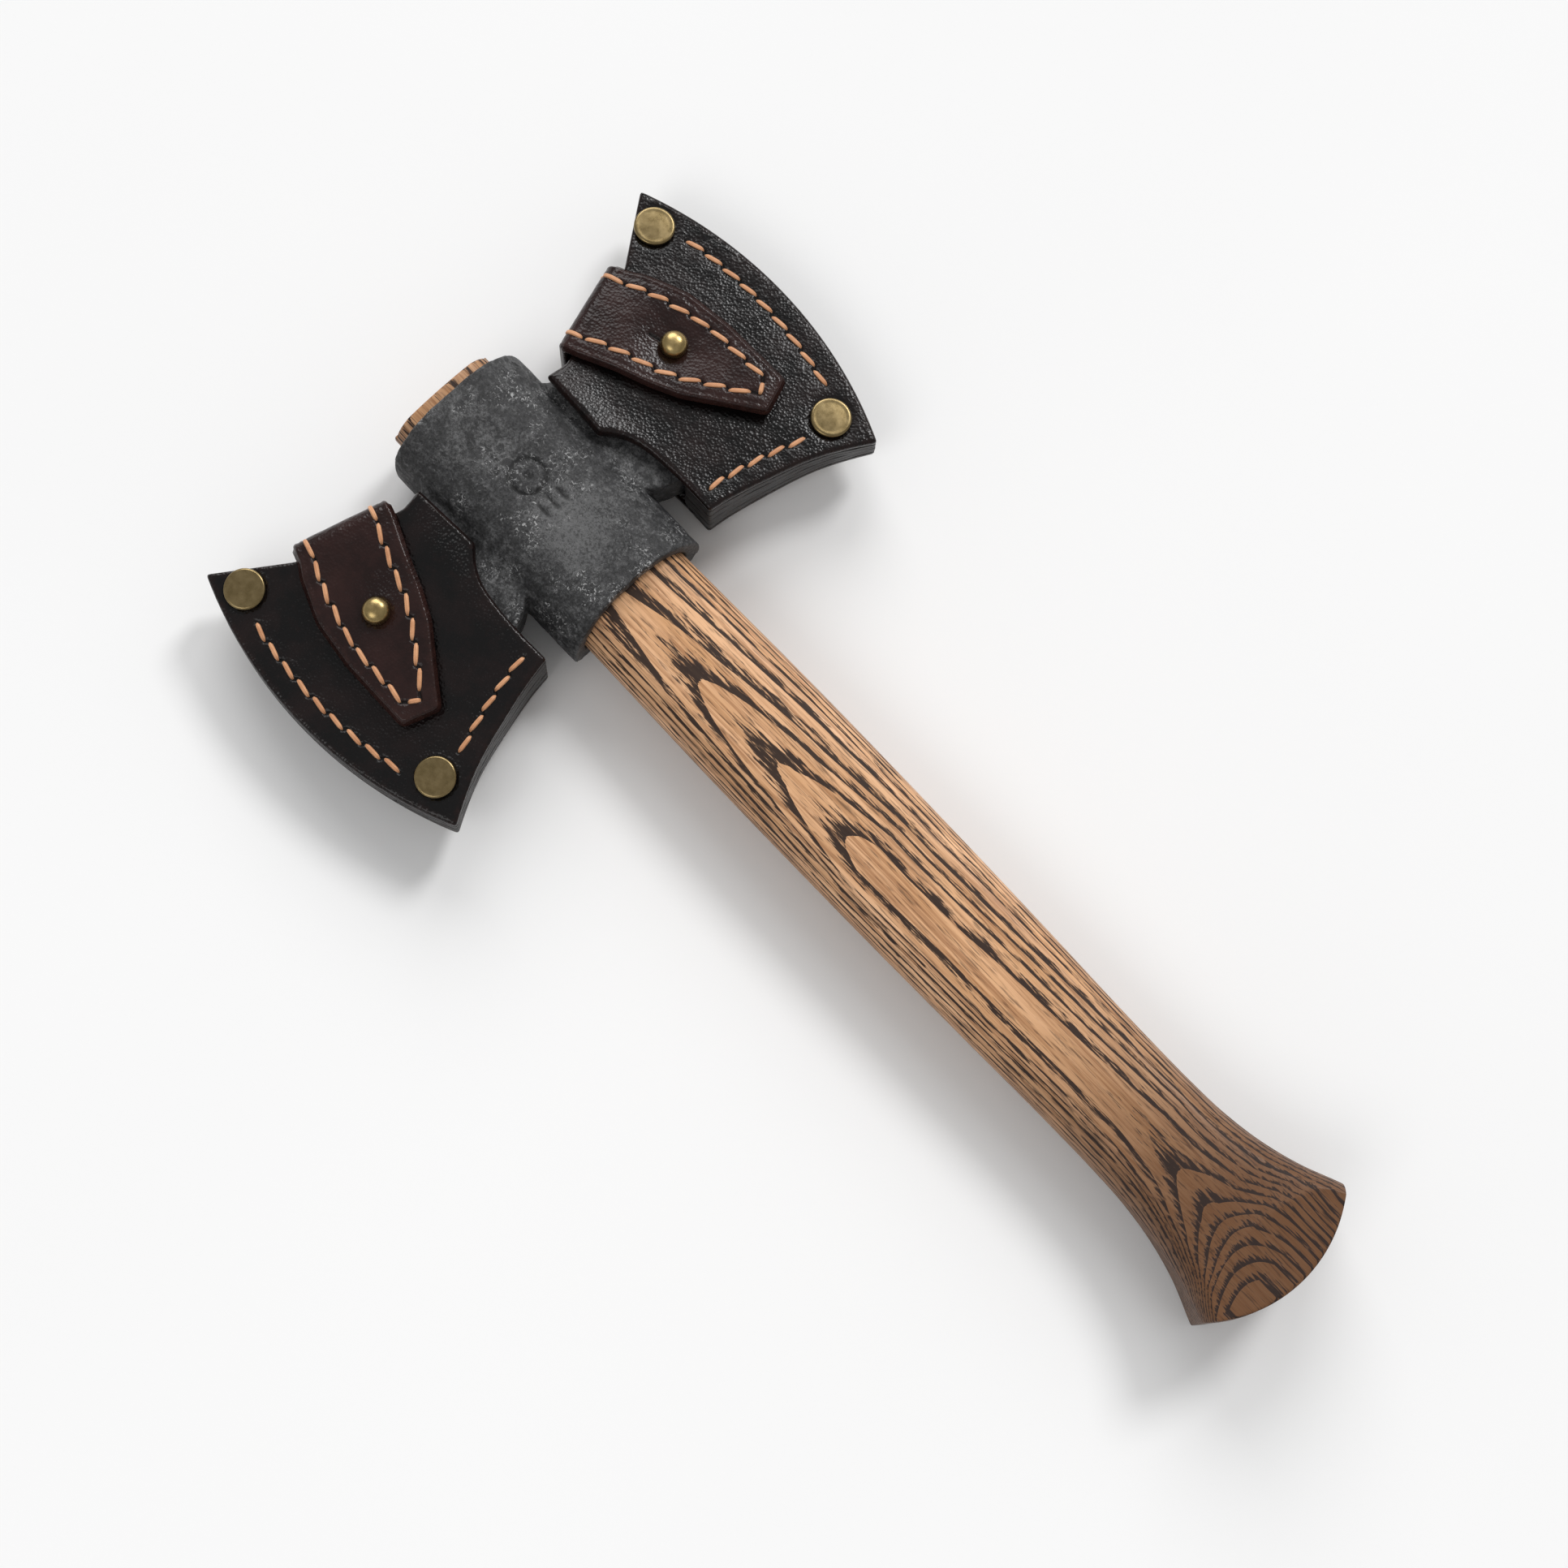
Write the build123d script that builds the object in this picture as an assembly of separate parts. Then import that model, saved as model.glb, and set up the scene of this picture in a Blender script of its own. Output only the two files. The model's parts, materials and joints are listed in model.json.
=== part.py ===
from build123d import *
import os
from math import hypot

os.makedirs("parts", exist_ok=True)

# A double-bit axe lying flat, with a leather cover on each bit. Millimetres.
# +X runs along the handle to its knob, +Y out through the right-hand bit, +Z up.
# The origin is at the middle of the eye, on the face that the axe rests on.

# head
THICKNESS = 32.0            # eye and knob, cheek to cheek
MID = THICKNESS / 2         # height of the plane that both blades lie in
EYE_TOP = -39.2
EYE_BOTTOM = 39.2
EYE_HALF_WIDTH = 24.3
EYE_CORNER = 3.4
EYE_CROWN = 1.2             # how far the upper end of the eye bulges
EYE_HOLLOW = 3.0            # how far its lower end is hollowed
EDGE_CENTRE = (2.6, -23.8)  # centre of the cutting edge's arc
EDGE_RADIUS = 104.5

# handle
TONGUE_TOP = -43.6
TONGUE_SIZE = (35.2, 20.4)
SEAT_X = 34.0
SEAT_SIZE = (38.0, 22.6)
FIT_GAP = 0.1
KNOB_END = 302.5
KNOB_RADIUS = 43.1
HANDLE_SECTIONS = [         # x, width, thickness, corner radius
    (SEAT_X, *SEAT_SIZE, 11.2),
    (62.0, 38.8, 24.0, 11.6),
    (90.0, 39.4, 25.0, 11.6),
    (115.0, 39.4, 25.2, 11.8),
    (140.0, 39.2, 25.4, 11.8),
    (165.0, 38.6, 25.4, 11.8),
    (190.0, 37.8, 25.4, 11.8),
    (210.0, 37.0, 25.4, 11.8),
    (228.0, 36.4, 25.4, 11.8),
    (242.0, 36.4, 25.6, 11.8),
    (256.0, 37.4, 26.6, 11.6),
    (268.0, 40.4, 28.6, 11.0),
    (280.0, 46.2, 31.0, 10.0),
    (292.0, 54.8, 35.6, 9.0),
    (303.0, 61.5, 39.0, 8.4),
]

# wedges
KERF_DEPTH = 50.0
KERF_THIN = 0.8
WEDGE_LENGTH = 44.0
WEDGE_THICK = 4.4
STEEL_LENGTH = 24.0
STEEL_THICK = 3.0
STEEL_THIN = 0.6
STEEL_WIDTH = 17.0

# leather cover
LEATHER = 3.0
SPREAD_Y = 24.0             # where the panels stand furthest apart
SPREAD = 9.6                # half of the gap between the panels there
TAPER = 0.11                # how fast they close on each other towards the cutting edge
HEEL_LAYERS = 4
WELT_RADIUS = 107.0         # inner side of the edge welt
ARC_MIDDLE = (0.4, 93.3)
TOE_TIP = (-49.2, 83.8)
HEEL_TIP = (52.3, 81.5)
HEEL_NECK = (35.4, 31.4)
HEEL_EDGE = [HEEL_TIP, (48.7, 75.2), (43.8, 64.8), (39.7, 51.4), (36.9, 40.5), HEEL_NECK]
NECK_EDGE = [HEEL_NECK, (24.5, 31.6), (13.7, 30.9), (5.7, 29.2), (0.4, 26.0), (-2.3, 23.4)]
NECK_TOE = (-24.8, 24.5)
TOE_EDGE = [(-23.9, 31.0), (-31.8, 58.5), (-34.3, 63.5)]
HEEL_WELT_INNER = [(24.5, 32.0), (26.0, 41.0), (28.4, 51.4), (32.8, 70.0), (34.0, 84.0)]

# rivets and stud
RIVETS = [(-38.1, 78.9), (38.3, 76.3)]
RIVET_CAP_RADIUS = 6.0
RIVET_CAP_HEIGHT = 1.5
RIVET_POST_RADIUS = 2.0
STUD = (-6.6, 56.6)
BALL_RADIUS = 3.9
STUD_NECK_RADIUS = 2.2
STUD_BASE_RADIUS = 3.6
STUD_BASE = 0.5
SCREW_RADIUS = 1.5
SCREW_HEAD_RADIUS = 4.0
SCREW_HEAD = 1.0

# strap
STRAP_GAP = 0.6             # air between the front panel and the flap
STRAP = 2.8
FOLD_OUTER = [(-38.0, 60.3), (-29.0, 32.0)]
FOLD_INNER = [(-32.6, 63.4), (-23.4, 34.2)]
FOLD_RADIUS = 4.4
FLAP_OUTER = [(-29.0, 66.0), (-15.7, 71.6), (-1.0, 73.6), (22.4, 74.0)]
FLAP_TIP = (26.6, 62.6)
FLAP_INNER = [(18.0, 56.4), (6.0, 47.4), (-3.0, 43.0), (-13.0, 39.0)]
BUTTONHOLE = (11.4, 9.2)
BASE_INNER = [(-4.0, 68.0), (4.0, 60.0), (0.0, 44.0)]

# waxed thread
THREAD_WIDTH = 1.3
THREAD_HEIGHT = 0.5
EDGE_PITCH = 6.7
STRAP_PITCH = 7.0
HOLE_GAP = 1.5              # leather left between the end of a stitch and the next


def half_gap(y):
    """Half of the distance between the two panels at y."""
    return SPREAD - TAPER * (y - SPREAD_Y)


def slab(low, high):
    """A slice between two sloping planes, each given as (share of the half gap, height added)."""
    near, far = 5.0, 110.0
    corners = [
        (y, MID + share * half_gap(y) + added)
        for (share, added), y in ((low, near), (low, far), (high, far), (high, near))
    ]
    return Pos(-90, 0, 0) * extrude(Plane.YZ * Polygon(*corners, align=None), 180)


def layer(shape, low, high):
    """A flat outline cut out of the slice between two sloping planes."""
    return extrude(shape, 100, both=True) & slab(low, high)


def front(shape, low, high):
    """A layer at a height above the inside of the front panel."""
    return layer(shape, (1, low), (1, high))


def back(shape, low, high):
    """A layer at a depth below the inside of the back panel."""
    return layer(shape, (-1, -high), (-1, -low))


def on_front(place, height):
    """A plane along the front panel, at a height above its inside."""
    x, y = place
    return Plane(origin=(x, y, MID + half_gap(y) + height), x_dir=(1, 0, 0), z_dir=(0, TAPER, 1))


def on_back(place, height):
    """A plane along the back panel, facing away from it."""
    x, y = place
    return Plane(origin=(x, y, MID - half_gap(y) - height), x_dir=(1, 0, 0), z_dir=(0, TAPER, -1))


def save(name, shape):
    export_step(shape, f"parts/{name}.step")


# ---------------------------------------------------------------- head, handle and wedges

def eye_outline():
    """The eye seen from above: a crowned upper end and a hollowed lower end."""
    side = EYE_HALF_WIDTH
    shoulder = EYE_TOP + EYE_CROWN
    inner = side - EYE_CORNER
    return make_face([
        Line((shoulder + EYE_CORNER, side), (EYE_BOTTOM, side)),
        ThreePointArc((EYE_BOTTOM, side), (EYE_BOTTOM - EYE_HOLLOW, 0), (EYE_BOTTOM, -side)),
        Line((EYE_BOTTOM, -side), (shoulder + EYE_CORNER, -side)),
        RadiusArc((shoulder + EYE_CORNER, -side), (shoulder, -inner), EYE_CORNER),
        ThreePointArc((shoulder, -inner), (EYE_TOP, 0), (shoulder, inner)),
        RadiusArc((shoulder, inner), (shoulder + EYE_CORNER, side), EYE_CORNER),
    ])


def blade_outline():
    """One blade seen from above, from inside the wall of the eye to its cutting edge."""
    toe = (-38.5, 72.4)
    heel = (30.7, 76.8)
    middle = (EDGE_CENTRE[0], EDGE_CENTRE[1] + EDGE_RADIUS)
    return make_face([
        ThreePointArc(toe, middle, heel),
        Spline(heel, (30.0, 70.0), (26.0, 51.4), (22.3, 32.0), (20.4, 27.0), (16.5, 22.0)),
        Polyline((16.5, 22.0), (16.5, 19.8), (-27.0, 19.8), (-27.0, 22.0)),
        Spline((-27.0, 22.0), (-23.6, 26.0), (-22.8, 32.0), (-29.6, 57.0), (-32.3, 63.0), toe),
    ])


def blade_disc():
    """A disc about the centre of the cutting edge, sharp at its rim, that gives a blade its thickness."""
    rim = EDGE_RADIUS + 1.0
    half = [(0, 12.6), (42.5, 12.6), (45.0, 10.2), (48.0, 8.7), (54.0, 8.0), (84.0, 3.6), (101.5, 1.0)]
    upper = [(r, MID + z) for r, z in half]
    lower = [(r, MID - z) for r, z in reversed(half)]
    profile = Plane.XZ * Polygon(*upper, (rim, MID), *lower, align=None)
    return Pos(EDGE_CENTRE[0], EDGE_CENTRE[1], 0) * revolve(profile, Axis.Z)


def oval(x, width, thickness):
    """A flat-sided oval across the handle at x."""
    return Plane(origin=(x, 0, MID), x_dir=(0, 1, 0), z_dir=(1, 0, 0)) * SlotOverall(width, thickness)


def eye_hole():
    """The tapered hole through the eye, and the mouth that widens at its lower end."""
    rise = (SEAT_SIZE[0] - TONGUE_SIZE[0]) / (SEAT_X - TONGUE_TOP)
    gap = 2 * FIT_GAP
    past = 50.0 - SEAT_X
    hole = loft([
        oval(TONGUE_TOP, TONGUE_SIZE[0] + gap, TONGUE_SIZE[1] + gap),
        oval(50.0, SEAT_SIZE[0] + gap + rise * past, SEAT_SIZE[1] + gap + rise * past),
    ], ruled=True)
    mouth = loft([
        oval(30.0, SEAT_SIZE[0] - 0.6, SEAT_SIZE[1] - 0.6),
        oval(44.0, SEAT_SIZE[0] + 2.4, SEAT_SIZE[1] + 2.4),
    ], ruled=True)
    return hole + mouth


def head():
    """Eye and two blades, forged in one piece."""
    across = Plane(origin=(-60, 0, MID), x_dir=(0, 1, 0), z_dir=(1, 0, 0))
    tube = extrude(across * SlotOverall(2 * EYE_HALF_WIDTH, THICKNESS), 120)
    eye = tube & extrude(eye_outline(), THICKNESS)
    blade = extrude(blade_outline(), THICKNESS) & blade_disc()
    return eye + blade + mirror(blade, about=Plane.XZ) - eye_hole()


def tongue():
    """The part of the handle inside the eye, with a little of it standing out above."""
    return loft([oval(TONGUE_TOP, *TONGUE_SIZE), oval(SEAT_X, *SEAT_SIZE)], ruled=True)


def wedge_prism(length, thick, thin):
    """A wedge driven in along X, as deep as the tongue is wide."""
    start = TONGUE_TOP
    profile = Polygon(
        (start, MID - thick / 2), (start + length, MID - thin / 2),
        (start + length, MID + thin / 2), (start, MID + thick / 2), align=None)
    return Pos(0, 30, 0) * extrude(Plane.XZ * profile, 60)


def steel_wedge():
    """A small steel wedge across the wooden one."""
    start = TONGUE_TOP
    profile = Polygon(
        (start, -STEEL_THICK / 2), (start + STEEL_LENGTH, -STEEL_THIN / 2),
        (start + STEEL_LENGTH, STEEL_THIN / 2), (start, STEEL_THICK / 2), align=None)
    return Pos(0, 0, MID - STEEL_WIDTH / 2) * extrude(profile, STEEL_WIDTH)


def handle():
    """One piece of ash: a tongue with a saw cut, a slightly swelling grip and a flared knob."""
    sections = [
        Plane(origin=(x, 0, MID), x_dir=(0, 1, 0), z_dir=(1, 0, 0)) * RectangleRounded(w, t, r)
        for x, w, t, r in HANDLE_SECTIONS
    ]
    grip = loft(sections)
    centre = KNOB_END - KNOB_RADIUS
    blank = Pos(centre / 2, 0, MID) * Box(centre, 100, THICKNESS)
    blank += Pos(centre, 0, MID) * Cylinder(KNOB_RADIUS, THICKNESS)
    kerf = wedge_prism(KERF_DEPTH, WEDGE_THICK, KERF_THIN)
    return tongue() + (grip & blank) - kerf - steel_wedge()


def wooden_wedge():
    """The hardwood wedge that spreads the tongue in the eye."""
    share = WEDGE_LENGTH / KERF_DEPTH
    thin = WEDGE_THICK + share * (KERF_THIN - WEDGE_THICK)
    return (wedge_prism(WEDGE_LENGTH, WEDGE_THICK, thin) & tongue()) - steel_wedge()


# ---------------------------------------------------------------- leather cover on the right-hand bit

def arc_line():
    """The outline of the cover along the cutting edge, from heel to toe."""
    return ThreePointArc(HEEL_TIP, ARC_MIDDLE, TOE_TIP)


def holes(places, radius):
    """A round hole at each place."""
    return Sketch() + [Pos(x, y) * Circle(radius) for x, y in places]


def panel_outline():
    """One side of the cover, cut to the blade's shape and stepped round the eye."""
    outline = make_face([
        arc_line(),
        Spline(*reversed(HEEL_EDGE)),
        Spline(*NECK_EDGE),
        Line(NECK_EDGE[-1], NECK_TOE),
        Line(NECK_TOE, TOE_EDGE[0]),
        Line(TOE_EDGE[0], TOE_EDGE[1]),
        Line(TOE_EDGE[1], TOE_EDGE[2]),
        Line(TOE_EDGE[2], TOE_TIP),
    ])
    return outline - holes(RIVETS, RIVET_POST_RADIUS)


def heel_welt_outline():
    """The strip along the heel of the blade."""
    strip = make_face([
        Spline(*HEEL_WELT_INNER),
        Polyline(HEEL_WELT_INNER[-1], (34.0, 100.0), (70.0, 100.0), (70.0, 20.0), (24.5, 20.0),
                 HEEL_WELT_INNER[0]),
    ])
    return panel_outline() & strip


def edge_welt_outline():
    """The strip along the cutting edge, up to the heel strip."""
    inside = Pos(*EDGE_CENTRE) * Circle(WELT_RADIUS)
    return panel_outline() - inside - heel_welt_outline()


def front_panel():
    """The upper side of the cover, with the stud's screw hole."""
    screw_hole = on_front(STUD, 0) * Cylinder(SCREW_RADIUS + FIT_GAP, 20)
    return front(panel_outline(), 0, LEATHER) - screw_hole


def heel_welt_layers():
    """The stack of layers along the heel, each thinner towards the cutting edge."""
    step = 2 / HEEL_LAYERS
    outline = heel_welt_outline()
    return [layer(outline, (-1 + i * step, 0), (-1 + (i + 1) * step, 0)) for i in range(HEEL_LAYERS)]


def rivet_cap():
    """A low round cap with a bevelled rim, standing on the plane that it is placed on."""
    cap = Pos(0, 0, RIVET_CAP_HEIGHT / 2) * Cylinder(RIVET_CAP_RADIUS, RIVET_CAP_HEIGHT)
    return chamfer(cap.edges().sort_by(Axis.Z)[-1], 0.6)


def stud():
    """A ball on a short neck with a thin flange, bored for its screw."""
    centre = LEATHER + STRAP_GAP + STRAP + 1.6
    flange = Pos(0, 0, LEATHER + STUD_BASE / 2) * Cylinder(STUD_BASE_RADIUS, STUD_BASE)
    neck = Pos(0, 0, (LEATHER + centre) / 2) * Cylinder(STUD_NECK_RADIUS, centre - LEATHER)
    ball = Pos(0, 0, centre) * Sphere(BALL_RADIUS)
    bore = Pos(0, 0, LEATHER + 1) * Cylinder(SCREW_RADIUS, 2)
    return on_front(STUD, 0) * (flange + neck + ball - bore)


def stud_screw():
    """The screw that holds the stud from behind the front panel."""
    top = LEATHER + 2
    disc = Pos(0, 0, -SCREW_HEAD / 2) * Cylinder(SCREW_HEAD_RADIUS, SCREW_HEAD)
    shank = Pos(0, 0, top / 2) * Cylinder(SCREW_RADIUS, top)
    return on_front(STUD, 0) * (disc + shank)


def strap_fold():
    """The bend of the strap round the toe side, from the back panel to the front."""
    flap_low = LEATHER + STRAP_GAP
    (ax, ay), (bx, by) = FOLD_OUTER
    (cx, cy), (dx, dy) = FOLD_INNER
    across = Vector(cx - ax, cy - ay).length
    share = STRAP / abs(Vector(cx - ax, cy - ay).cross(Vector(bx - ax, by - ay).normalized()).Z)
    inner = [
        (ax + share * (cx - ax), ay + share * (cy - ay)),
        (bx + share * (dx - bx), by + share * (dy - by)),
    ]
    past = [(2 * dx - bx, 2 * dy - by), (2 * cx - ax, 2 * cy - ay)]
    block = layer(Polygon(*FOLD_OUTER, (dx, dy), (cx, cy), align=None),
                  (-1, -LEATHER - STRAP), (1, flap_low + STRAP))
    middle = (Vector(ax, ay) + Vector(bx, by)) / 2
    bends = [e for e in block.edges() if hypot(e.center().X - middle.X, e.center().Y - middle.Y) < 0.5]
    space = layer(Polygon(*inner, *past, align=None), (-1, -LEATHER), (1, flap_low))
    return fillet(bends, FOLD_RADIUS) - space


def flap_outline():
    """The five-sided flap with its buttonhole."""
    flap = Polygon(FOLD_INNER[0], *FLAP_OUTER, FLAP_TIP, *FLAP_INNER, FOLD_INNER[1], align=None)
    flap = fillet(flap.vertices().sort_by(Axis.X)[-2:], 1.2)
    (ax, ay), (bx, by) = FOLD_OUTER
    turn = Vector(by - ay, ax - bx).get_signed_angle(Vector(1, 0), Vector(0, 0, -1))
    return flap - Pos(*STUD) * Rot(0, 0, turn) * SlotOverall(*BUTTONHOLE)


def base_outline():
    """The fixed end of the strap, under the back panel."""
    base = Polygon(*FOLD_INNER[:1], *BASE_INNER, FOLD_INNER[1], align=None)
    return fillet(base.vertices().sort_by(Axis.X)[-3:], 4)


def stitches(paths, pitch):
    """Evenly spaced stitches along each path."""
    marks = []
    for path in paths:
        count = max(1, round(path.length / pitch))
        length = path.length / count - HOLE_GAP
        for i in range(count):
            share = (i + 0.5) / count
            place = path @ share
            turn = Vector(1, 0).get_signed_angle(path % share, Vector(0, 0, 1))
            marks.append(Pos(place.X, place.Y) * Rot(0, 0, turn) * SlotOverall(length, THREAD_WIDTH))
    return Sketch() + marks


EDGE_ROW = ThreePointArc((-29.5, 83.2), (0.4, 86.0), (30.5, 82.0))
HEEL_ROW = ThreePointArc((30.3, 35.2), (33.3, 51.4), (38.2, 67.2))
STRAP_ROWS = [
    Polyline((-30.0, 59.8), (-20.0, 63.8), (-8.5, 67.2), (0.0, 68.5), (17.5, 69.2)),
    Polyline((18.6, 68.6), (20.5, 64.5)),
    Polyline((19.0, 63.4), (2.8, 52.2), (-4.5, 48.2), (-12.5, 45.4), (-25.6, 39.9)),
]
BASE_ROWS = [
    Polyline((-26.0, 61.5), (-7.0, 63.8)),
    Polyline((-3.5, 61.0), (-5.5, 49.5)),
    Polyline((-8.0, 47.5), (-21.0, 40.5)),
]


def right_cover():
    """Every piece of the cover on the right-hand bit, by name."""
    edge_row = stitches([EDGE_ROW], EDGE_PITCH)
    heel_row = stitches([HEEL_ROW], EDGE_PITCH)
    on_strap = stitches(STRAP_ROWS, STRAP_PITCH)
    on_base = stitches(BASE_ROWS, EDGE_PITCH)
    flap_low = LEATHER + STRAP_GAP
    flap_high = flap_low + STRAP
    thread = LEATHER + THREAD_HEIGHT
    base_low = LEATHER + STRAP
    edge_welt = edge_welt_outline()
    posts = holes(RIVETS, RIVET_POST_RADIUS)
    pieces = {
        "front_panel": front_panel(),
        "back_panel": back(panel_outline(), 0, LEATHER),
        "edge_welt_front": layer(edge_welt, (0, 0), (1, 0)),
        "edge_welt_back": layer(edge_welt, (-1, 0), (0, 0)),
        "rivet_caps": Part() + [on_front(p, LEATHER) * rivet_cap() for p in RIVETS],
        "rivet_posts": layer(posts, (-1, -LEATHER), (1, LEATHER)),
        "rivet_back_caps": Part() + [on_back(p, LEATHER) * rivet_cap() for p in RIVETS],
        "stud": stud(),
        "stud_screw": stud_screw(),
        "edge_stitches": front(edge_row, LEATHER, thread) + back(edge_row, LEATHER, thread),
        "heel_stitches": front(heel_row, LEATHER, thread) + back(heel_row, LEATHER, thread),
        "strap_base": back(base_outline(), LEATHER, base_low),
        "strap_base_stitches": back(on_base, base_low, base_low + THREAD_HEIGHT),
        "strap_fold": strap_fold(),
        "strap_flap": front(flap_outline(), flap_low, flap_high),
        "strap_stitches": front(on_strap, flap_high, flap_high + THREAD_HEIGHT),
    }
    for number, leather in enumerate(heel_welt_layers(), 1):
        pieces[f"heel_welt_{number}"] = leather
    return pieces


save("head", head())
save("handle", handle())
save("wooden_wedge", wooden_wedge())
save("steel_wedge", steel_wedge())
for name, piece in right_cover().items():
    save(f"right_{name}", piece)
    save(f"left_{name}", mirror(piece, about=Plane.XZ))
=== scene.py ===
import json
import random
from math import copysign, cos, pi, radians, sin

import bmesh
import bpy
import numpy as np
from mathutils import Matrix, Vector, noise
from mathutils.geometry import delaunay_2d_cdt
from mathutils.kdtree import KDTree


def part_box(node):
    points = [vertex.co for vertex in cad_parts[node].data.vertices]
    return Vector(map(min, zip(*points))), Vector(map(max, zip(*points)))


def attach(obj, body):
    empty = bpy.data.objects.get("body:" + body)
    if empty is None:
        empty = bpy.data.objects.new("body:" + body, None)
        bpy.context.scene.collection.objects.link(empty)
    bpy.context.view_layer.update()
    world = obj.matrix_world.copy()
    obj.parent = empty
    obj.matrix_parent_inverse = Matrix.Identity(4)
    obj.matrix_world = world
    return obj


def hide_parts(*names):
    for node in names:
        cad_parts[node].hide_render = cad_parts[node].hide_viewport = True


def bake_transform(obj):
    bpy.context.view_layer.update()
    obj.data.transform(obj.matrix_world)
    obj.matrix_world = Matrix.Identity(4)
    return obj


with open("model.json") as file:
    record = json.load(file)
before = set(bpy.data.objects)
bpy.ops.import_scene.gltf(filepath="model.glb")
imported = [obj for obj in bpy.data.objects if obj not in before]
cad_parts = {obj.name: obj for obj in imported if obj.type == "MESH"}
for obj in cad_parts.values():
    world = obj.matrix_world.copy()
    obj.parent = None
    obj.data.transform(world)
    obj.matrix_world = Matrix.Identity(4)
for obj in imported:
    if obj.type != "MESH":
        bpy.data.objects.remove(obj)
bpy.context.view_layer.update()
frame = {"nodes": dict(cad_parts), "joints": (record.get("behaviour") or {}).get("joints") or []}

columns = np.column_stack
MM = 0.001
SIDES = {"right": 1, "left": -1}

# The covers' dimensions, in millimetres.
MID = 16.0  # height of the plane that both blades lie in
SPREAD = 9.6  # half of the gap between the panels at SPREAD_Y
SPREAD_Y = 24.0
TAPER = 0.11  # how fast the panels close on each other
LEATHER = 3.0
STRAP = 2.8
STRAP_GAP = 0.6
BEND = 3.0  # radius of the strap's middle layer where it turns
SEAT = 1.6  # how far the middle of the stud's ball stands over the flap
EDGE_STEPS = 4  # facets round each rounded edge of the leather
SLANT = 0.17  # radians that each stitch turns off its row
PAST_HOLE = 0.35  # how far a stitch runs on beyond the length that the CAD gives it
SLIT_REACH = 3.2  # stitch ends closer than this share an awl slit
SLIT_WIDTH = 0.42
SLIT_SHADE = 0.5  # reach of the dark in an awl slit
FACE = 0.9  # share of a sheet's thickness above which a point is on its face
TURNED_STEPS = 72  # facets round a turned piece
THREAD_WIDTH = 1.35
THREAD_HEIGHT = 0.85
THREAD_SINK = 0.95  # how far the thread goes down at its two ends
STRANDS = 5  # ridges round the thread


# ---- node helpers

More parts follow.
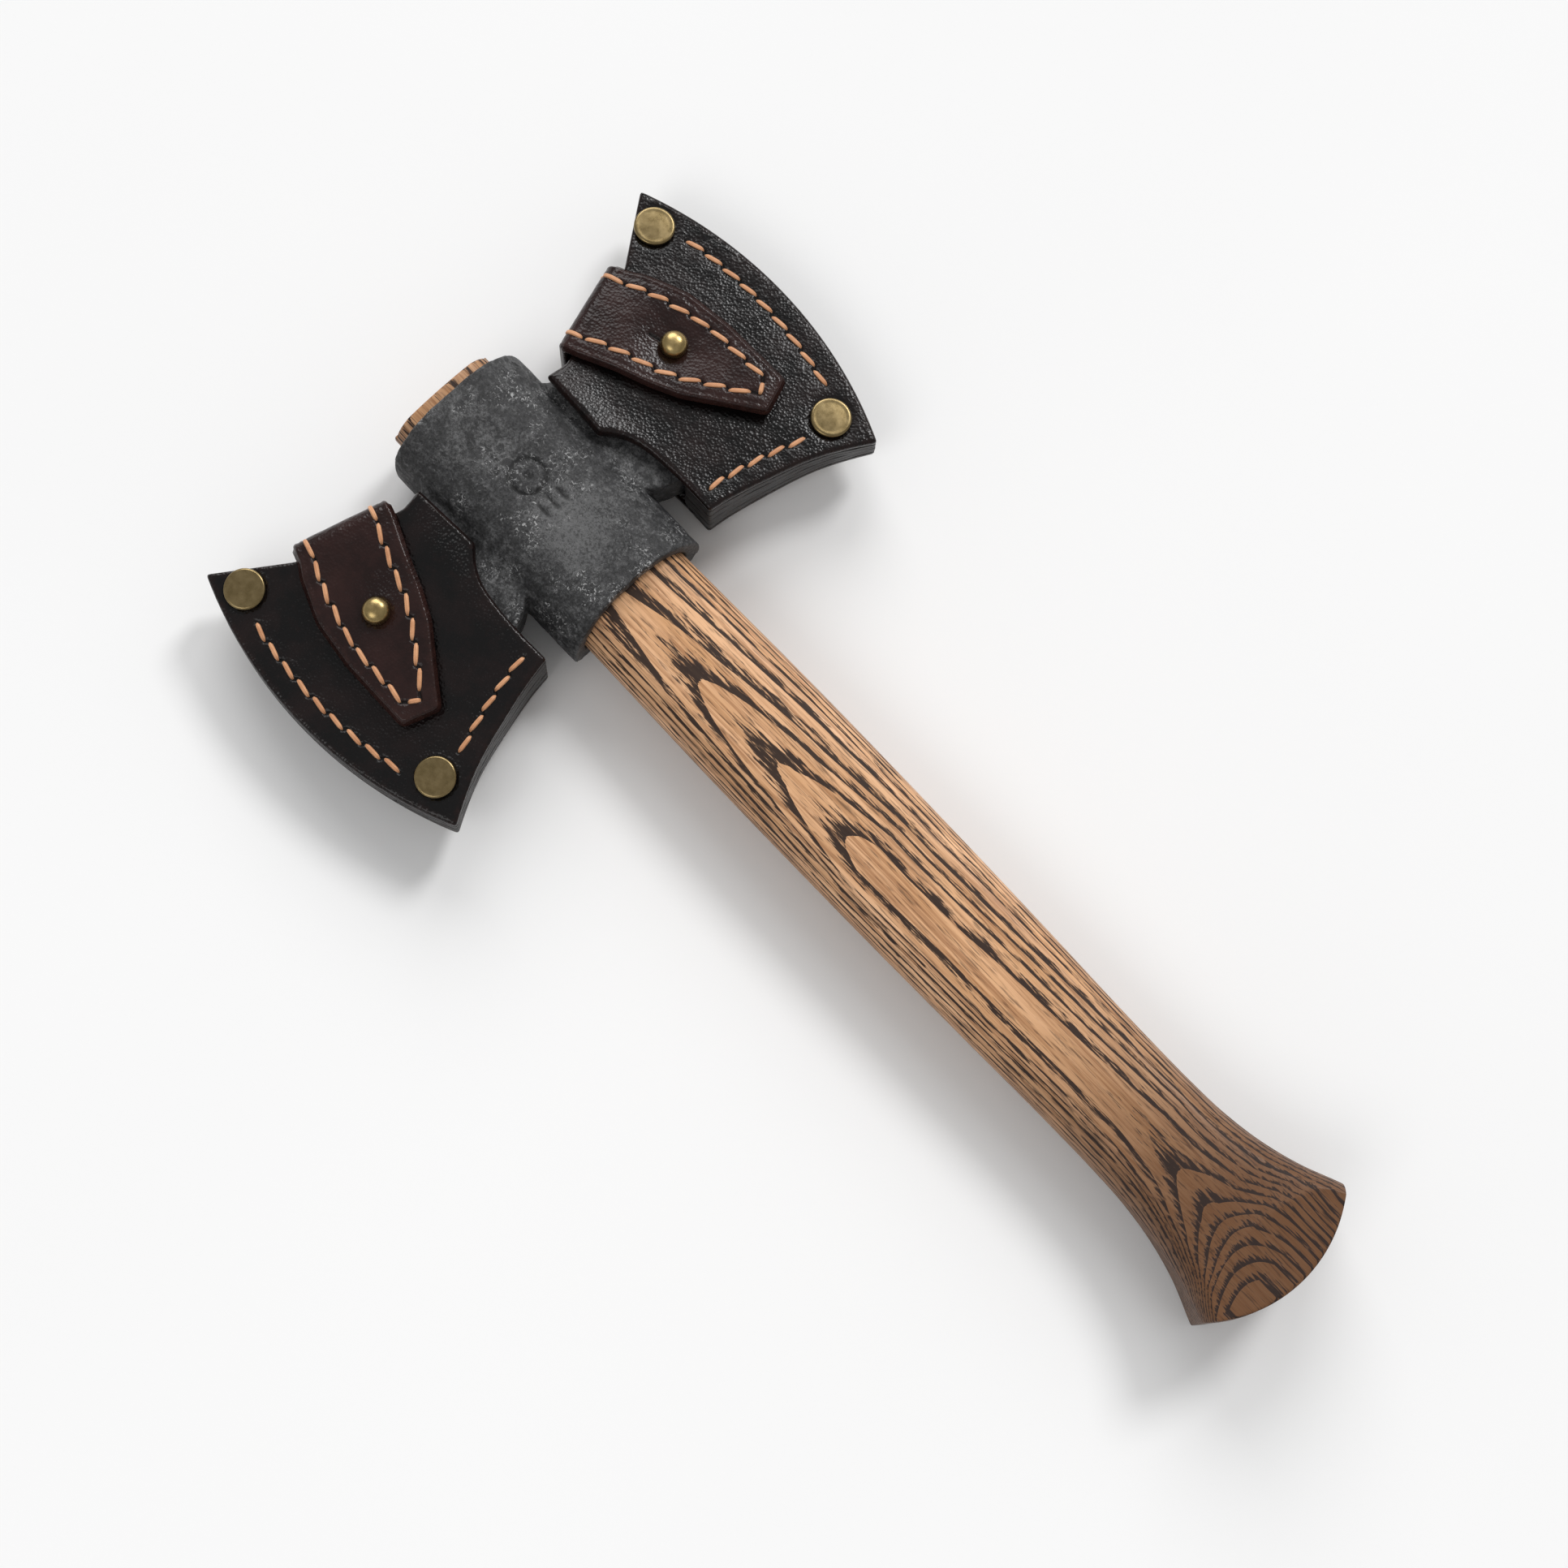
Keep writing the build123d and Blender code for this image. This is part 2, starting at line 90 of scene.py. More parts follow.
class Shader:
    """A material whose nodes are added one by one."""

    def __init__(self, name):
        self.material = bpy.data.materials.new(name)
        self.material.use_nodes = True
        self.tree = self.material.node_tree
        self.tree.nodes.clear()
        output = self.node("OutputMaterial")
        self.surface = self.node("BsdfPrincipled")
        self.tree.links.new(self.surface.outputs[0], output.inputs[0])
        self.place = self.node("TexCoord").outputs["Object"]

    def node(self, kind, inputs=None, **settings):
        made = self.tree.nodes.new("ShaderNode" + kind)
        for key, value in settings.items():
            setattr(made, key, value)
        for key, value in (inputs or {}).items():
            self.plug(made.inputs[key], value)
        return made

    def plug(self, socket, value):
        if isinstance(value, bpy.types.NodeSocket):
            self.tree.links.new(value, socket)
        else:
            socket.default_value = value

    def maths(self, operation, *values):
        return self.node("Math", dict(enumerate(values)), operation=operation).outputs[0]

    def add(self, a, b):
        return self.maths("ADD", a, b)

    def sub(self, a, b):
        return self.maths("SUBTRACT", a, b)

    def mul(self, a, b):
        return self.maths("MULTIPLY", a, b)

    def length(self, a, b):
        """The length of the vector (a, b)."""
        return self.maths("SQRT", self.add(self.mul(a, a), self.mul(b, b)))

    def split(self):
        """The object's x, y and z coordinates."""
        return self.node("SeparateXYZ", {0: self.place}).outputs

    def stretch(self, *scale):
        """The object's coordinates, scaled along each axis."""
        return self.node("VectorMath", {0: self.place, 1: scale}, operation="MULTIPLY").outputs[0]

    def noise(self, scale, detail, rough=0.55, distortion=0.0, colour=False, at=None):
        made = self.node("TexNoise", {
            "Vector": self.place if at is None else at, "Scale": scale, "Detail": detail,
            "Roughness": rough, "Distortion": distortion})
        return made.outputs["Color" if colour else "Fac"]

    def voronoi(self, at, scale, feature="F1", smooth=None):
        """The distance to the nearest of a set of scattered points."""
        inputs = {"Vector": at, "Scale": scale, "Randomness": 1.0}
        made = self.node("TexVoronoi", inputs, feature=feature)
        if smooth is not None:
            made.inputs["Smoothness"].default_value = smooth
        return made.outputs["Distance"]

    def ramp(self, value, stops):
        """A colour ramp; each stop is (position, grey or colour)."""
        made = self.node("ValToRGB", {0: value})
        band = made.color_ramp
        while len(band.elements) < len(stops):
            band.elements.new(0.5)
        for element, (position, colour) in zip(band.elements, stops):
            element.position = position
            element.color = (*colour, 1.0) if isinstance(colour, tuple) else (colour, colour, colour, 1.0)
        return made.outputs[0]

    def fit(self, value, low, high, to_low=0.0, to_high=1.0, smooth=False):
        """Maps low..high to to_low..to_high, and holds it there."""
        made = self.node("MapRange", {0: value, 1: low, 2: high, 3: to_low, 4: to_high},
                         interpolation_type="SMOOTHSTEP" if smooth else "LINEAR")
        return made.outputs[0]

    def blend(self, share, a, b, mode="MIX"):
        """Colour a, with b over it by share."""
        made = self.node("Mix", data_type="RGBA", blend_type=mode)
        self.plug(made.inputs[0], share)
        for socket, value in ((made.inputs[6], a), (made.inputs[7], b)):
            self.plug(socket, (*value, 1.0) if isinstance(value, tuple) else value)
        return made.outputs[2]

    def attribute(self, name):
        return self.node("Attribute", attribute_name=name).outputs["Fac"]

    def bump(self, height, distance, strength, under=None):
        made = self.node("Bump", {"Height": height, "Distance": distance, "Strength": strength})
        if under is not None:
            self.plug(made.inputs["Normal"], under)
        return made.outputs[0]

    def finish(self, colour, rough, normal, **rest):
        """The material, with these set on its surface shader."""
        for key, value in {"Base_Color": colour, "Roughness": rough, "Normal": normal, **rest}.items():
            self.plug(self.surface.inputs[key.replace("_", " ")], value)
        return self.material


# ---- materials

def grey(level):
    return (level, level, level)


def forged_steel():
    """Dark forge scale, mottled, with pale flecks and rounder darker spots."""
    s = Shader("forged_steel")
    broad = s.noise(42.0, 4.0, 0.6, 0.4)
    patch = s.noise(330.0, 8.0, 0.75, 0.4)
    fine = s.noise(1300.0, 5.0, 0.8)
    grit = s.noise(2600.0, 3.0, 0.6)
    tone = s.ramp(patch, [(0.38, (0.016, 0.016, 0.0165)), (0.50, (0.032, 0.032, 0.033)),
                          (0.62, (0.075, 0.075, 0.076))])
    pale = s.mul(s.fit(broad, 0.50, 0.56, 0.0, 0.7), s.fit(patch, 0.44, 0.52))
    tone = s.blend(pale, tone, (0.080, 0.080, 0.081))
    speckle = s.fit(fine, 0.40, 0.62, 0.35, 1.65)
    speckle = s.node("CombineColor", {0: speckle, 1: speckle, 2: speckle}).outputs[0]
    tone = s.blend(1.0, tone, speckle, "MULTIPLY")
    x, y, z = s.split()
    away = s.length(s.sub(x, 0.013), y)
    away = s.add(away, s.mul(s.sub(patch, 0.5), 0.060))
    rubbed = s.mul(s.fit(away, 0.008, 0.013, 0.66, 0.0), s.fit(z, 0.020, 0.026))
    rubbed = s.mul(rubbed, s.fit(fine, 0.42, 0.50, 0.35, 1.0))
    tone = s.blend(rubbed, tone, (0.135, 0.135, 0.136))
    # Painted shade: the stamped marks are painted near black.
    tone = s.blend(s.attribute("stamp"), tone, grey(0.006))
    warp = s.noise(300.0, 3.0, 0.6, colour=True)
    bent = s.node("VectorMath", {0: warp, 1: grey(0.0024), 2: s.place},
                  operation="MULTIPLY_ADD").outputs[0]
    spot = s.voronoi(bent, 150.0)
    lone = s.fit(s.noise(52.0, 2.0), 0.50, 0.54)
    spots = s.mul(s.fit(spot, 0.24, 0.30, 0.80, 0.0, True), lone)
    tone = s.blend(spots, tone, (0.024, 0.024, 0.025))
    halo = s.maths("ABSOLUTE", s.sub(spot, 0.34))
    halo = s.mul(s.fit(halo, 0.0, 0.05, 0.5, 0.0), lone)
    tone = s.blend(s.mul(halo, s.fit(fine, 0.45, 0.6)), tone, grey(0.22))
    cluster = s.fit(s.noise(105.0, 3.0, 0.6), 0.52, 0.62)
    flecks = s.fit(s.noise(900.0, 3.0, 0.7, 1.2), 0.57, 0.62)
    flecks = s.mul(flecks, cluster)
    tone = s.blend(s.mul(flecks, 0.8), tone, grey(0.42))
    height = s.add(s.mul(patch, 0.6), s.mul(fine, 0.35))
    height = s.sub(height, s.mul(spots, 0.12))
    normal = s.bump(height, 0.0008, 0.6, s.bump(grit, 0.0001, 0.4))
    rough = s.fit(patch, 0.35, 0.70, 0.46, 0.62)
    return s.finish(tone, rough, normal, Specular_IOR_Level=0.35)


def leather(name, dark, light, worn, shine, pebble=1.0):
    """Waxed vegetable leather: fine pebbles, mottled dye, burnished edges, and painted shade in the awl
    holes.
    """
    s = Shader(name)
    cells = s.voronoi(s.place, 1200.0, "SMOOTH_F1", smooth=0.3)
    creases = s.noise(560.0, 3.0, 0.6, at=s.stretch(0.6, 1.0, 1.0))
    mottle = s.noise(75.0, 4.0, 0.6)
    fibre = s.noise(420.0, 4.0, 0.65)
    edge = s.attribute("edge")
    hole_shade = s.attribute("hole_shade")
    tone = s.blend(s.fit(mottle, 0.42, 0.66), dark, light)
    tone = s.blend(s.fit(fibre, 0.50, 0.75, 0.0, 0.6), tone, light)
    tone = s.blend(s.mul(edge, s.fit(fibre, 0.40, 0.65, 0.15, 0.8)), tone, worn)
    # Painted shade: the awl slits and the strap's button slit are painted near black.
    tone = s.blend(hole_shade, tone, (0.0012, 0.0010, 0.0010))
    grain = s.add(s.mul(cells, 0.8), s.mul(creases, 0.24))
    grain = s.add(grain, s.mul(fibre, 0.15))
    normal = s.bump(grain, 0.00030 * pebble, 0.48)
    rough = s.add(s.fit(mottle, 0.3, 0.7, 0.20, 0.28), s.mul(hole_shade, 0.5))
    return s.finish(tone, rough, normal, Specular_IOR_Level=shine)


def burnished(name, dark, light):
    """The cut and burnished edge of leather: fibres lie along it in thin streaks."""
    s = Shader(name)
    streak = s.noise(900.0, 4.0, 0.6, at=s.stretch(0.25, 0.25, 4.0))
    mottle = s.noise(160.0, 4.0, 0.6)
    tone = s.blend(s.fit(mottle, 0.35, 0.7), dark, light)
    tone = s.blend(s.fit(streak, 0.5, 0.75, 0.0, 0.6), tone, light)
    normal = s.bump(s.add(streak, mottle), 0.0003, 0.5)
    return s.finish(tone, s.fit(mottle, 0.3, 0.7, 0.34, 0.5), normal, Specular_IOR_Level=0.4)


def waxed_thread():
    """Flat waxed thread: fine filaments, with painted shade in the grooves between its strands."""
    s = Shader("waxed_thread")
    strand = s.noise(3000.0, 3.0, 0.6)
    mottle = s.noise(240.0, 3.0, 0.6)
    tone = s.blend(s.fit(mottle, 0.35, 0.65), (0.52, 0.235, 0.105), (0.68, 0.345, 0.17))
    # Painted shade: darker in the grooves between the strands.
    tone = s.blend(s.fit(s.attribute("groove"), 0.0, 1.0, 0.0, 0.55), tone, (0.30, 0.115, 0.045))
    normal = s.bump(strand, 0.00012, 0.6)
    return s.finish(tone, 0.52, normal, Sheen_Weight=0.15)


def brass(name, tone_low, tone_high, dull):
    """Brass with a brushed, tarnished face."""
    s = Shader(name)
    mottle = s.noise(420.0, 4.0, 0.6)
    brush = s.noise(3800.0, 3.0, 0.6, at=s.stretch(1.0, 0.12, 1.0))
    tone = s.blend(s.fit(mottle, 0.35, 0.65), tone_low, tone_high)
    tone = s.blend(s.fit(s.noise(1500.0, 3.0, 0.7), 0.55, 0.75, 0.0, 0.45), tone, dull)
    normal = s.bump(brush, 0.00005, 0.35)
    return s.finish(tone, s.fit(mottle, 0.3, 0.7, 0.26, 0.34), normal, Metallic=1.0)


# Where the pith rises or falls, and where it moves to the left cover's side: from x, to x, by how much.
PITH_Z = [
    (0.1077, 0.1381, -0.00115), (0.1381, 0.1700, 0.00016), (0.2450, 0.2620, 0.00028),
    (0.2720, 0.2840, -0.00095), (0.2840, 0.2940, -0.00210),
]
PITH_SIDE = [(0.150, 0.240, -0.0062), (0.245, 0.272, 0.0046), (0.281, 0.294, 0.0062)]


def ash(name, end_grain=False):
    """Oiled ash: dark porous early wood in each ring, broken into short dashes along the grain."""
    s = Shader(name)
    x, y, z = s.split()
    # The pith runs above the handle, beside its middle, and bends towards it in the knob.
    pith_z = s.fit(x, 0.0716, 0.1077, 0.08934, 0.08887)
    for start, end, change in PITH_Z:
        pith_z = s.add(pith_z, s.fit(x, start, end, 0.0, change))
    beside = s.fit(x, 0.105, 0.138, 0.0083, 0.0097)
    for start, end, change in PITH_SIDE:
        beside = s.add(beside, s.fit(x, start, end, 0.0, change))
    wave = s.noise(1.0, 2.0, 0.5, at=s.stretch(14.0, 90.0, 90.0))
    wave = s.mul(s.sub(wave, 0.5), 0.00028)
    rise = s.sub(pith_z, z)
    side = s.add(y, beside)
    radius = s.length(rise, side)
    # Rings are 0.9 mm apart up to 62.4 mm from the pith, and wider beyond.
    reach = s.sub(s.add(radius, wave), 0.0597)
    rings = s.maths("DIVIDE", s.maths("MINIMUM", reach, 0.0027), 0.0009)
    wider = s.maths("DIVIDE", s.maths("MAXIMUM", s.sub(reach, 0.0027), 0.0), 0.0019)
    phase = s.maths("FRACT", s.add(s.add(rings, wider), 200.0))
    early = s.ramp(phase, [(0.0, 0.95), (0.12, 0.88), (0.32, 0.58), (0.52, 0.27), (0.78, 0.0), (0.98, 0.0),
                           (1.0, 0.85)])
    dash = s.noise(1.0, 3.0, 0.6, at=s.stretch(110.0, 1500.0, 1500.0))
    dash = s.fit(dash, 0.32, 0.68)
    pores = s.mul(s.sub(dash, 1.0), 1.10)
    pores = s.add(s.mul(early, 1.14), pores)
    pores = s.fit(pores, 0.0, 0.30, 0.0, 1.0, True)
    loose = s.noise(1.0, 2.0, 0.5, at=s.stretch(120.0, 1900.0, 1900.0))
    loose = s.mul(s.fit(loose, 0.56, 0.66), 0.55)
    figure = s.noise(1.0, 3.0, 0.6, at=s.stretch(14.0, 170.0, 170.0))
    streak = s.noise(1.0, 4.0, 0.65, at=s.stretch(22.0, 1000.0, 1000.0))
    light = s.blend(s.fit(figure, 0.3, 0.7), (0.60, 0.325, 0.155), (0.82, 0.490, 0.280))
    light = s.blend(s.fit(streak, 0.44, 0.62, 0.0, 0.76), light, (0.32, 0.145, 0.062))
    toward_knob = s.fit(x, 0.18, 0.28, 0.0, 0.94, True)
    light = s.blend(toward_knob, light, (0.110, 0.046, 0.018))
    light = s.blend(s.fit(x, -0.031, -0.027, 0.42, 0.0), light, (0.120, 0.052, 0.020))
    tone = s.blend(s.maths("MAXIMUM", s.mul(pores, 0.97), loose), light, (0.018, 0.009, 0.007))
    if end_grain:
        tone = s.blend(0.35, tone, (0.20, 0.10, 0.05))
    height = s.sub(s.mul(streak, 0.3), pores)
    normal = s.bump(height, 0.00010, 0.55)
    rough = s.fit(pores, 0.0, 1.0, 0.42, 0.62)
    return s.finish(tone, rough, normal, Specular_IOR_Level=0.28)


def plain_steel():
    """The end of a cut steel wedge."""
    s = Shader("wedge_steel")
    brush = s.noise(2600.0, 3.0, 0.6, at=s.stretch(0.2, 1.0, 0.2))
    mottle = s.noise(500.0, 3.0, 0.6)
    tone = s.blend(s.fit(mottle, 0.35, 0.65), (0.20, 0.20, 0.205), (0.36, 0.36, 0.37))
    return s.finish(tone, s.fit(brush, 0.3, 0.7, 0.32, 0.5), s.bump(brush, 0.00008, 0.5), Metallic=1.0)


def pale_floor():
    """A matt near-white sheet, with a trace of paper tooth."""
    s = Shader("pale_floor")
    tooth = s.noise(600.0, 3.0, 0.6)
    tone = s.blend(s.fit(s.noise(3.0, 2.0), 0.3, 0.7), grey(0.86), grey(0.88))
    return s.finish(tone, 0.85, s.bump(tooth, 0.00005, 0.2))


STEEL = forged_steel()
COVER = leather("cover_leather", (0.0030, 0.0026, 0.0027), (0.0085, 0.0042, 0.0040),
                (0.015, 0.0062, 0.0050), 0.26)
STRAP_SKIN = leather("strap_leather", (0.0120, 0.0048, 0.0042), (0.0230, 0.0085, 0.0072),
                     (0.034, 0.0135, 0.0105), 0.26, 0.8)
WELT = burnished("welt_leather", (0.0040, 0.0034, 0.0034), (0.0160, 0.0115, 0.0105))
THREAD = waxed_thread()
OLD_BRASS = brass("antique_brass", (0.208, 0.153, 0.071), (0.262, 0.198, 0.099), (0.142, 0.104, 0.054))
BRIGHT_BRASS = brass("polished_brass", (0.31, 0.225, 0.095), (0.43, 0.32, 0.145), (0.20, 0.145, 0.065))
ASH = ash("ash")
WEDGE_ASH = ash("wedge_wood", end_grain=True)
WEDGE_STEEL = plain_steel()


# ---- mesh helpers

def linked(name, data):
    """A new object in the scene."""
    made = bpy.data.objects.new(name, data)
    bpy.context.scene.collection.objects.link(made)
    return made


def solid(name, points, faces, material, attributes=None):
    """A smooth-shaded mesh object from points in millimetres."""
    mesh = bpy.data.meshes.new(name)
    mesh.from_pydata((np.asarray(points) * MM).tolist(), [], [list(f) for f in faces])
    mesh.validate()
    mesh.shade_smooth()
    mesh.materials.append(material)
    for key, values in (attributes or {}).items():
        made = mesh.attributes.new(key, "FLOAT", "POINT")
        made.data.foreach_set("value", np.asarray(values, np.float32))
    return linked(name, mesh)


def flipped(faces):
    return [tuple(reversed(f)) for f in faces]


def tube(rings, around):
    """The faces of a tube made of rings of points, closed at both ends."""
    faces = []
    for i in range(rings - 1):
        for k in range(around):
            a, b = i * around + k, i * around + (k + 1) % around
            faces.append((a, b, b + around, a + around))
    faces.append(tuple(range(around))[::-1])
    faces.append(tuple((rings - 1) * around + k for k in range(around)))
    return faces


def cad_mesh(node):
    """A CAD node's mesh with its doubled points merged; the caller frees it."""
    bm = bmesh.new()
    bm.from_mesh(frame["nodes"][node].data)
    bmesh.ops.remove_doubles(bm, verts=bm.verts, dist=1e-6)
    return bm


def outline_of(node, facing=1):
    """The outer outline, seen from above, of a CAD node's flat faces that look up (or down, for -1)."""
    bm = cad_mesh(node)
    chosen = {f for f in bm.faces if f.normal.z * facing > 0.98}
    follow = {}
    for edge in bm.edges:
        if sum(f in chosen for f in edge.link_faces) == 1:
            a, b = (v.index for v in edge.verts)
            follow.setdefault(a, []).append(b)
            follow.setdefault(b, []).append(a)
    bm.verts.ensure_lookup_table()
    loops = []
    while follow:
        start = min(follow)
        loop, here, before = [start], start, None
        while True:
            after = next((n for n in follow[here] if n != before), follow[here][0])
            if after == start:
                break
            loop.append(after)
            before, here = here, after
        for index in loop:
            follow.pop(index, None)
        loops.append(np.array([bm.verts[i].co[:2] for i in loop]) / MM)
    bm.free()
    best = max(loops, key=lambda loop: abs(area(loop)))
    return best if area(best) > 0 else best[::-1]


def area(loop):
    """The loop's area, positive if it runs anticlockwise."""
    x, y = np.asarray(loop).T
    return 0.5 * float(np.sum(x * np.roll(y, -1) - np.roll(x, -1) * y))


def resample(loop, spacing, corner=0.35, soften=2):
    """The closed loop with even spacing, its corners kept and then slightly rounded."""
    loop = np.asarray(loop, float)
    ahead = np.roll(loop, -1, 0) - loop
    loop = loop[np.linalg.norm(ahead, axis=1) > 1e-4]
    ahead = np.roll(loop, -1, 0) - loop
    heading = np.arctan2(ahead[:, 1], ahead[:, 0])
    turn = (heading - np.roll(heading, 1) + pi) % (2 * pi) - pi
    corners = np.flatnonzero(np.abs(turn) > corner)
    if len(corners) < 2:
        corners = np.array([0, len(loop) // 2])
    made = []
    for a, b in zip(corners, np.roll(corners, -1)):
        stop = b if b > a else b + len(loop)
        piece = loop[np.arange(a, stop + 1) % len(loop)]
        length = np.concatenate([[0], np.cumsum(np.linalg.norm(np.diff(piece, axis=0), axis=1))])
        count = max(1, round(length[-1] / spacing))
        at = np.linspace(0, length[-1], count + 1)[:-1]
        made.append(columns([np.interp(at, length, piece[:, k]) for k in (0, 1)]))
    made = np.concatenate(made)
    for _ in range(soften):
        made = 0.5 * made + 0.25 * (np.roll(made, 1, 0) + np.roll(made, -1, 0))
    return made


def outward(loop):
    """The outward normal at each point of an anticlockwise loop."""
    along = np.roll(loop, -1, 0) - np.roll(loop, 1, 0)
    normal = columns([along[:, 1], -along[:, 0]])
    return normal / np.linalg.norm(normal, axis=1)[:, None]


def inside(points, loop):
    """Which points are inside the loop."""
    x, y = points[:, 0][:, None], points[:, 1][:, None]
    ax, ay = loop[:, 0][None], loop[:, 1][None]
    bx, by = np.roll(loop[:, 0], -1)[None], np.roll(loop[:, 1], -1)[None]
    cross = (ay > y) != (by > y)
    reach = ax + (y - ay) / np.where(by == ay, 1e-12, by - ay) * (bx - ax)
    return (cross & (x < reach)).sum(1) % 2 == 1


def nearest(points, targets):
    """The distance from each point to the nearest target."""
    tree = KDTree(len(targets))
    for i, target in enumerate(targets):
        tree.insert((*target, 0.0), i)
    tree.balance()
    return np.array([tree.find((*p, 0.0))[2] for p in points])


def fill(ring, spacing, extra=()):
    """Triangles inside a ring, on a staggered grid, with extra points where they are wanted."""
    low, high = ring.min(0), ring.max(0)
    rows = np.arange(low[1], high[1], spacing * 0.87)
    points = []
    for i, y in enumerate(rows):
        x = np.arange(low[0] + (i % 2) * spacing / 2, high[0], spacing)
        points.append(columns([x, np.full(len(x), y)]))
    points = np.concatenate(points)
    points = points[inside(points, ring)]
    points = points[nearest(points, ring) > spacing * 0.6]
    if len(extra):
        extra = np.asarray(extra)
        extra = extra[inside(extra, ring)]
        extra = extra[nearest(extra, ring) > 0.2]
        points = points[nearest(points, extra) > 0.3]
        points = np.concatenate([points, extra])
    everything = [Vector(p) for p in np.concatenate([ring, points])]
    n = len(ring)
    edges = [(i, (i + 1) % n) for i in range(n)]
    verts, _, faces, *_ = delaunay_2d_cdt(everything, edges, [], 1, 1e-7)
    return np.array([v[:] for v in verts]), [tuple(f) for f in faces]


def sheet(loop, thickness, edge, spacing, back_spacing=2.0, flare=0.0, extra=()):
    """A flat sheet with rounded edges: its points, its faces, and each point's distance from the edge.

    Height runs from 0 at the back to thickness at the front; the front is smaller all round by flare.
    """
    normal = outward(loop)
    n = len(loop)
    points, faces = [], []
    quarter = [pi / 2 * k / EDGE_STEPS for k in range(EDGE_STEPS)]

    def add(flat, height):
        start = sum(len(p) for p in points)
        points.append(columns([flat, np.full(len(flat), height)]))
        return start

    def strip(first, second):
        for i in range(n):
            j = (i + 1) % n
            faces.append((first + i, second + i, second + j, first + j))

    top, top_faces = fill(loop - normal * (edge + flare), spacing, extra)
    before = add(top, thickness)
    faces += [tuple(before + i for i in f) for f in top_faces]
    for angle in reversed(quarter):
        inset = flare + edge * (1 - cos(angle))
        here = add(loop - normal * inset, thickness - edge * (1 - sin(angle)))
        strip(before, here)
        before = here
    for angle in quarter:
        here = add(loop - normal * edge * (1 - cos(angle)), edge * (1 - sin(angle)))
        strip(before, here)
        before = here
    bottom, bottom_faces = fill(loop - normal * edge, back_spacing)
    start = add(bottom, 0.0)
    faces += [tuple(start + i for i in reversed(f)) for f in bottom_faces]
    strip(before, start)
    points = np.concatenate(points)
    return points, faces, nearest(points[:, :2], loop)


def rumple(points, size, seed):
    """Smooth noise from -1 to 1 at each point, over about size millimetres."""
    shift = Vector((seed * 13.7, seed * 5.1, seed * 9.3))
    return np.array([noise.noise(Vector(p) / size + shift) for p in points])


def half_gap(y):
    """Half of the distance between the panels, at a distance from the handle's plane."""
    return SPREAD - TAPER * (np.abs(y) - SPREAD_Y)


def off_middle(height, front):
    """The z of a height off the blades' plane: up on the front, down on the back."""
    return MID + height if front else MID - height


def islands(node):
    """The separate solids of a CAD node, each as its points in millimetres."""
    bm = cad_mesh(node)
    left = set(bm.verts)
    made = []
    while left:
        stack = [min(left, key=lambda v: v.index)]
        left.discard(stack[0])
        found = []
        while stack:
            here = stack.pop()
            found.append(np.array(here.co) / MM)
            for edge in here.link_edges:
                other = edge.other_vert(here)
                if other in left:
                    left.discard(other)
                    stack.append(other)
        made.append(np.array(found))
    bm.free()
    return made


def stitch_marks(node, upper):
    """(middle, direction, length) in plan of each stitch of a CAD node, on its front or its back."""
    marks = []
    for points in islands(node):
        if (points[:, 2].mean() > MID) != upper:
            continue
        flat = points[:, :2]
        middle = (flat.min(0) + flat.max(0)) / 2
        around = flat - flat.mean(0)
        along = np.linalg.svd(around, full_matrices=False)[2][0]
        along = -along if along[0] < 0 else along
        reach = around @ along
        marks.append((middle, along, reach.max() - reach.min()))
    return marks


def awl_points(places):
    """Extra mesh points on and beside the awl slits, one to each cell of 0.25 mm."""
    extra = []
    for place in places:
        extra.append(tuple(place))
        for radius, count in ((0.35, 6), (0.75, 8)):
            for k in range(count):
                angle = 2 * pi * k / count
                extra.append((place[0] + radius * cos(angle), place[1] + radius * sin(angle)))
    kept = {}
    for point in extra:
        kept.setdefault((round(point[0] / 0.25), round(point[1] / 0.25)), point)
    return list(kept.values())


def stitch_ends(marks, turn):
    """The two ends of each stitch, each stitch turned a little off its row."""
    ends = []
    c, s = cos(turn), sin(turn)
    for middle, along, length in marks:
        way = np.array([along[0] * c - along[1] * s, along[0] * s + along[1] * c])
        reach = way * (length / 2 + PAST_HOLE)
        ends.append((middle - reach, middle + reach))
    return ends


def slits(ends):
    """Points along the awl slits: each runs from the end of one stitch to the start of the next."""
    made = []
    loose = [(i, p) for i, pair in enumerate(ends) for p in pair]
    for k, (i, p) in enumerate(loose):
        made.append(p)
        for j, q in loose[k + 1:]:
            if i != j and np.linalg.norm(p - q) < SLIT_REACH:
                made += [p + (q - p) * t for t in (0.2, 0.4, 0.6, 0.8)]
    return np.array(made)


def dent(flat, places, depth, width):
    """How far the surface dips near a set of places."""
    if not len(places):
        return np.zeros(len(flat))
    return depth * np.exp(-(nearest(flat, places) / width) ** 2)


# ---- thread

def stitch_mesh(start, end, lift):
    """One stitch between two holes, in plan, as (plan x, plan y, height over the surface) points.

    It dips into the leather at both ends, and its filaments twist slightly.
    """
    sides, stations = 20, 14
    start, end = np.asarray(start), np.asarray(end)
    along = end - start
    across = np.array([-along[1], along[0]]) / np.linalg.norm(along)
    points, groove = [], []
    for i in range(stations + 1):
        t = i / stations
        off = abs(2 * t - 1)
        middle = start + along * t
        top = lift - THREAD_SINK * off ** 5
        wide = THREAD_WIDTH * (1 - 0.30 * off ** 3)
        tall = THREAD_HEIGHT * (1 - 0.25 * off ** 3)
        for k in range(sides):
            angle = 2 * pi * k / sides
            ridge = cos(STRANDS * angle + 1.6 * t)
            swell = 1 + 0.075 * ridge
            u = wide / 2 * cos(angle) * swell
            h = tall / 2 * sin(angle) * swell
            points.append((*(middle + across * u), top + h))
            # How far down between two strands each point lies, which sets the painted shade there.
            groove.append(max(0.0, -ridge) ** 2)
    return np.array(points), tube(stations + 1, sides), groove


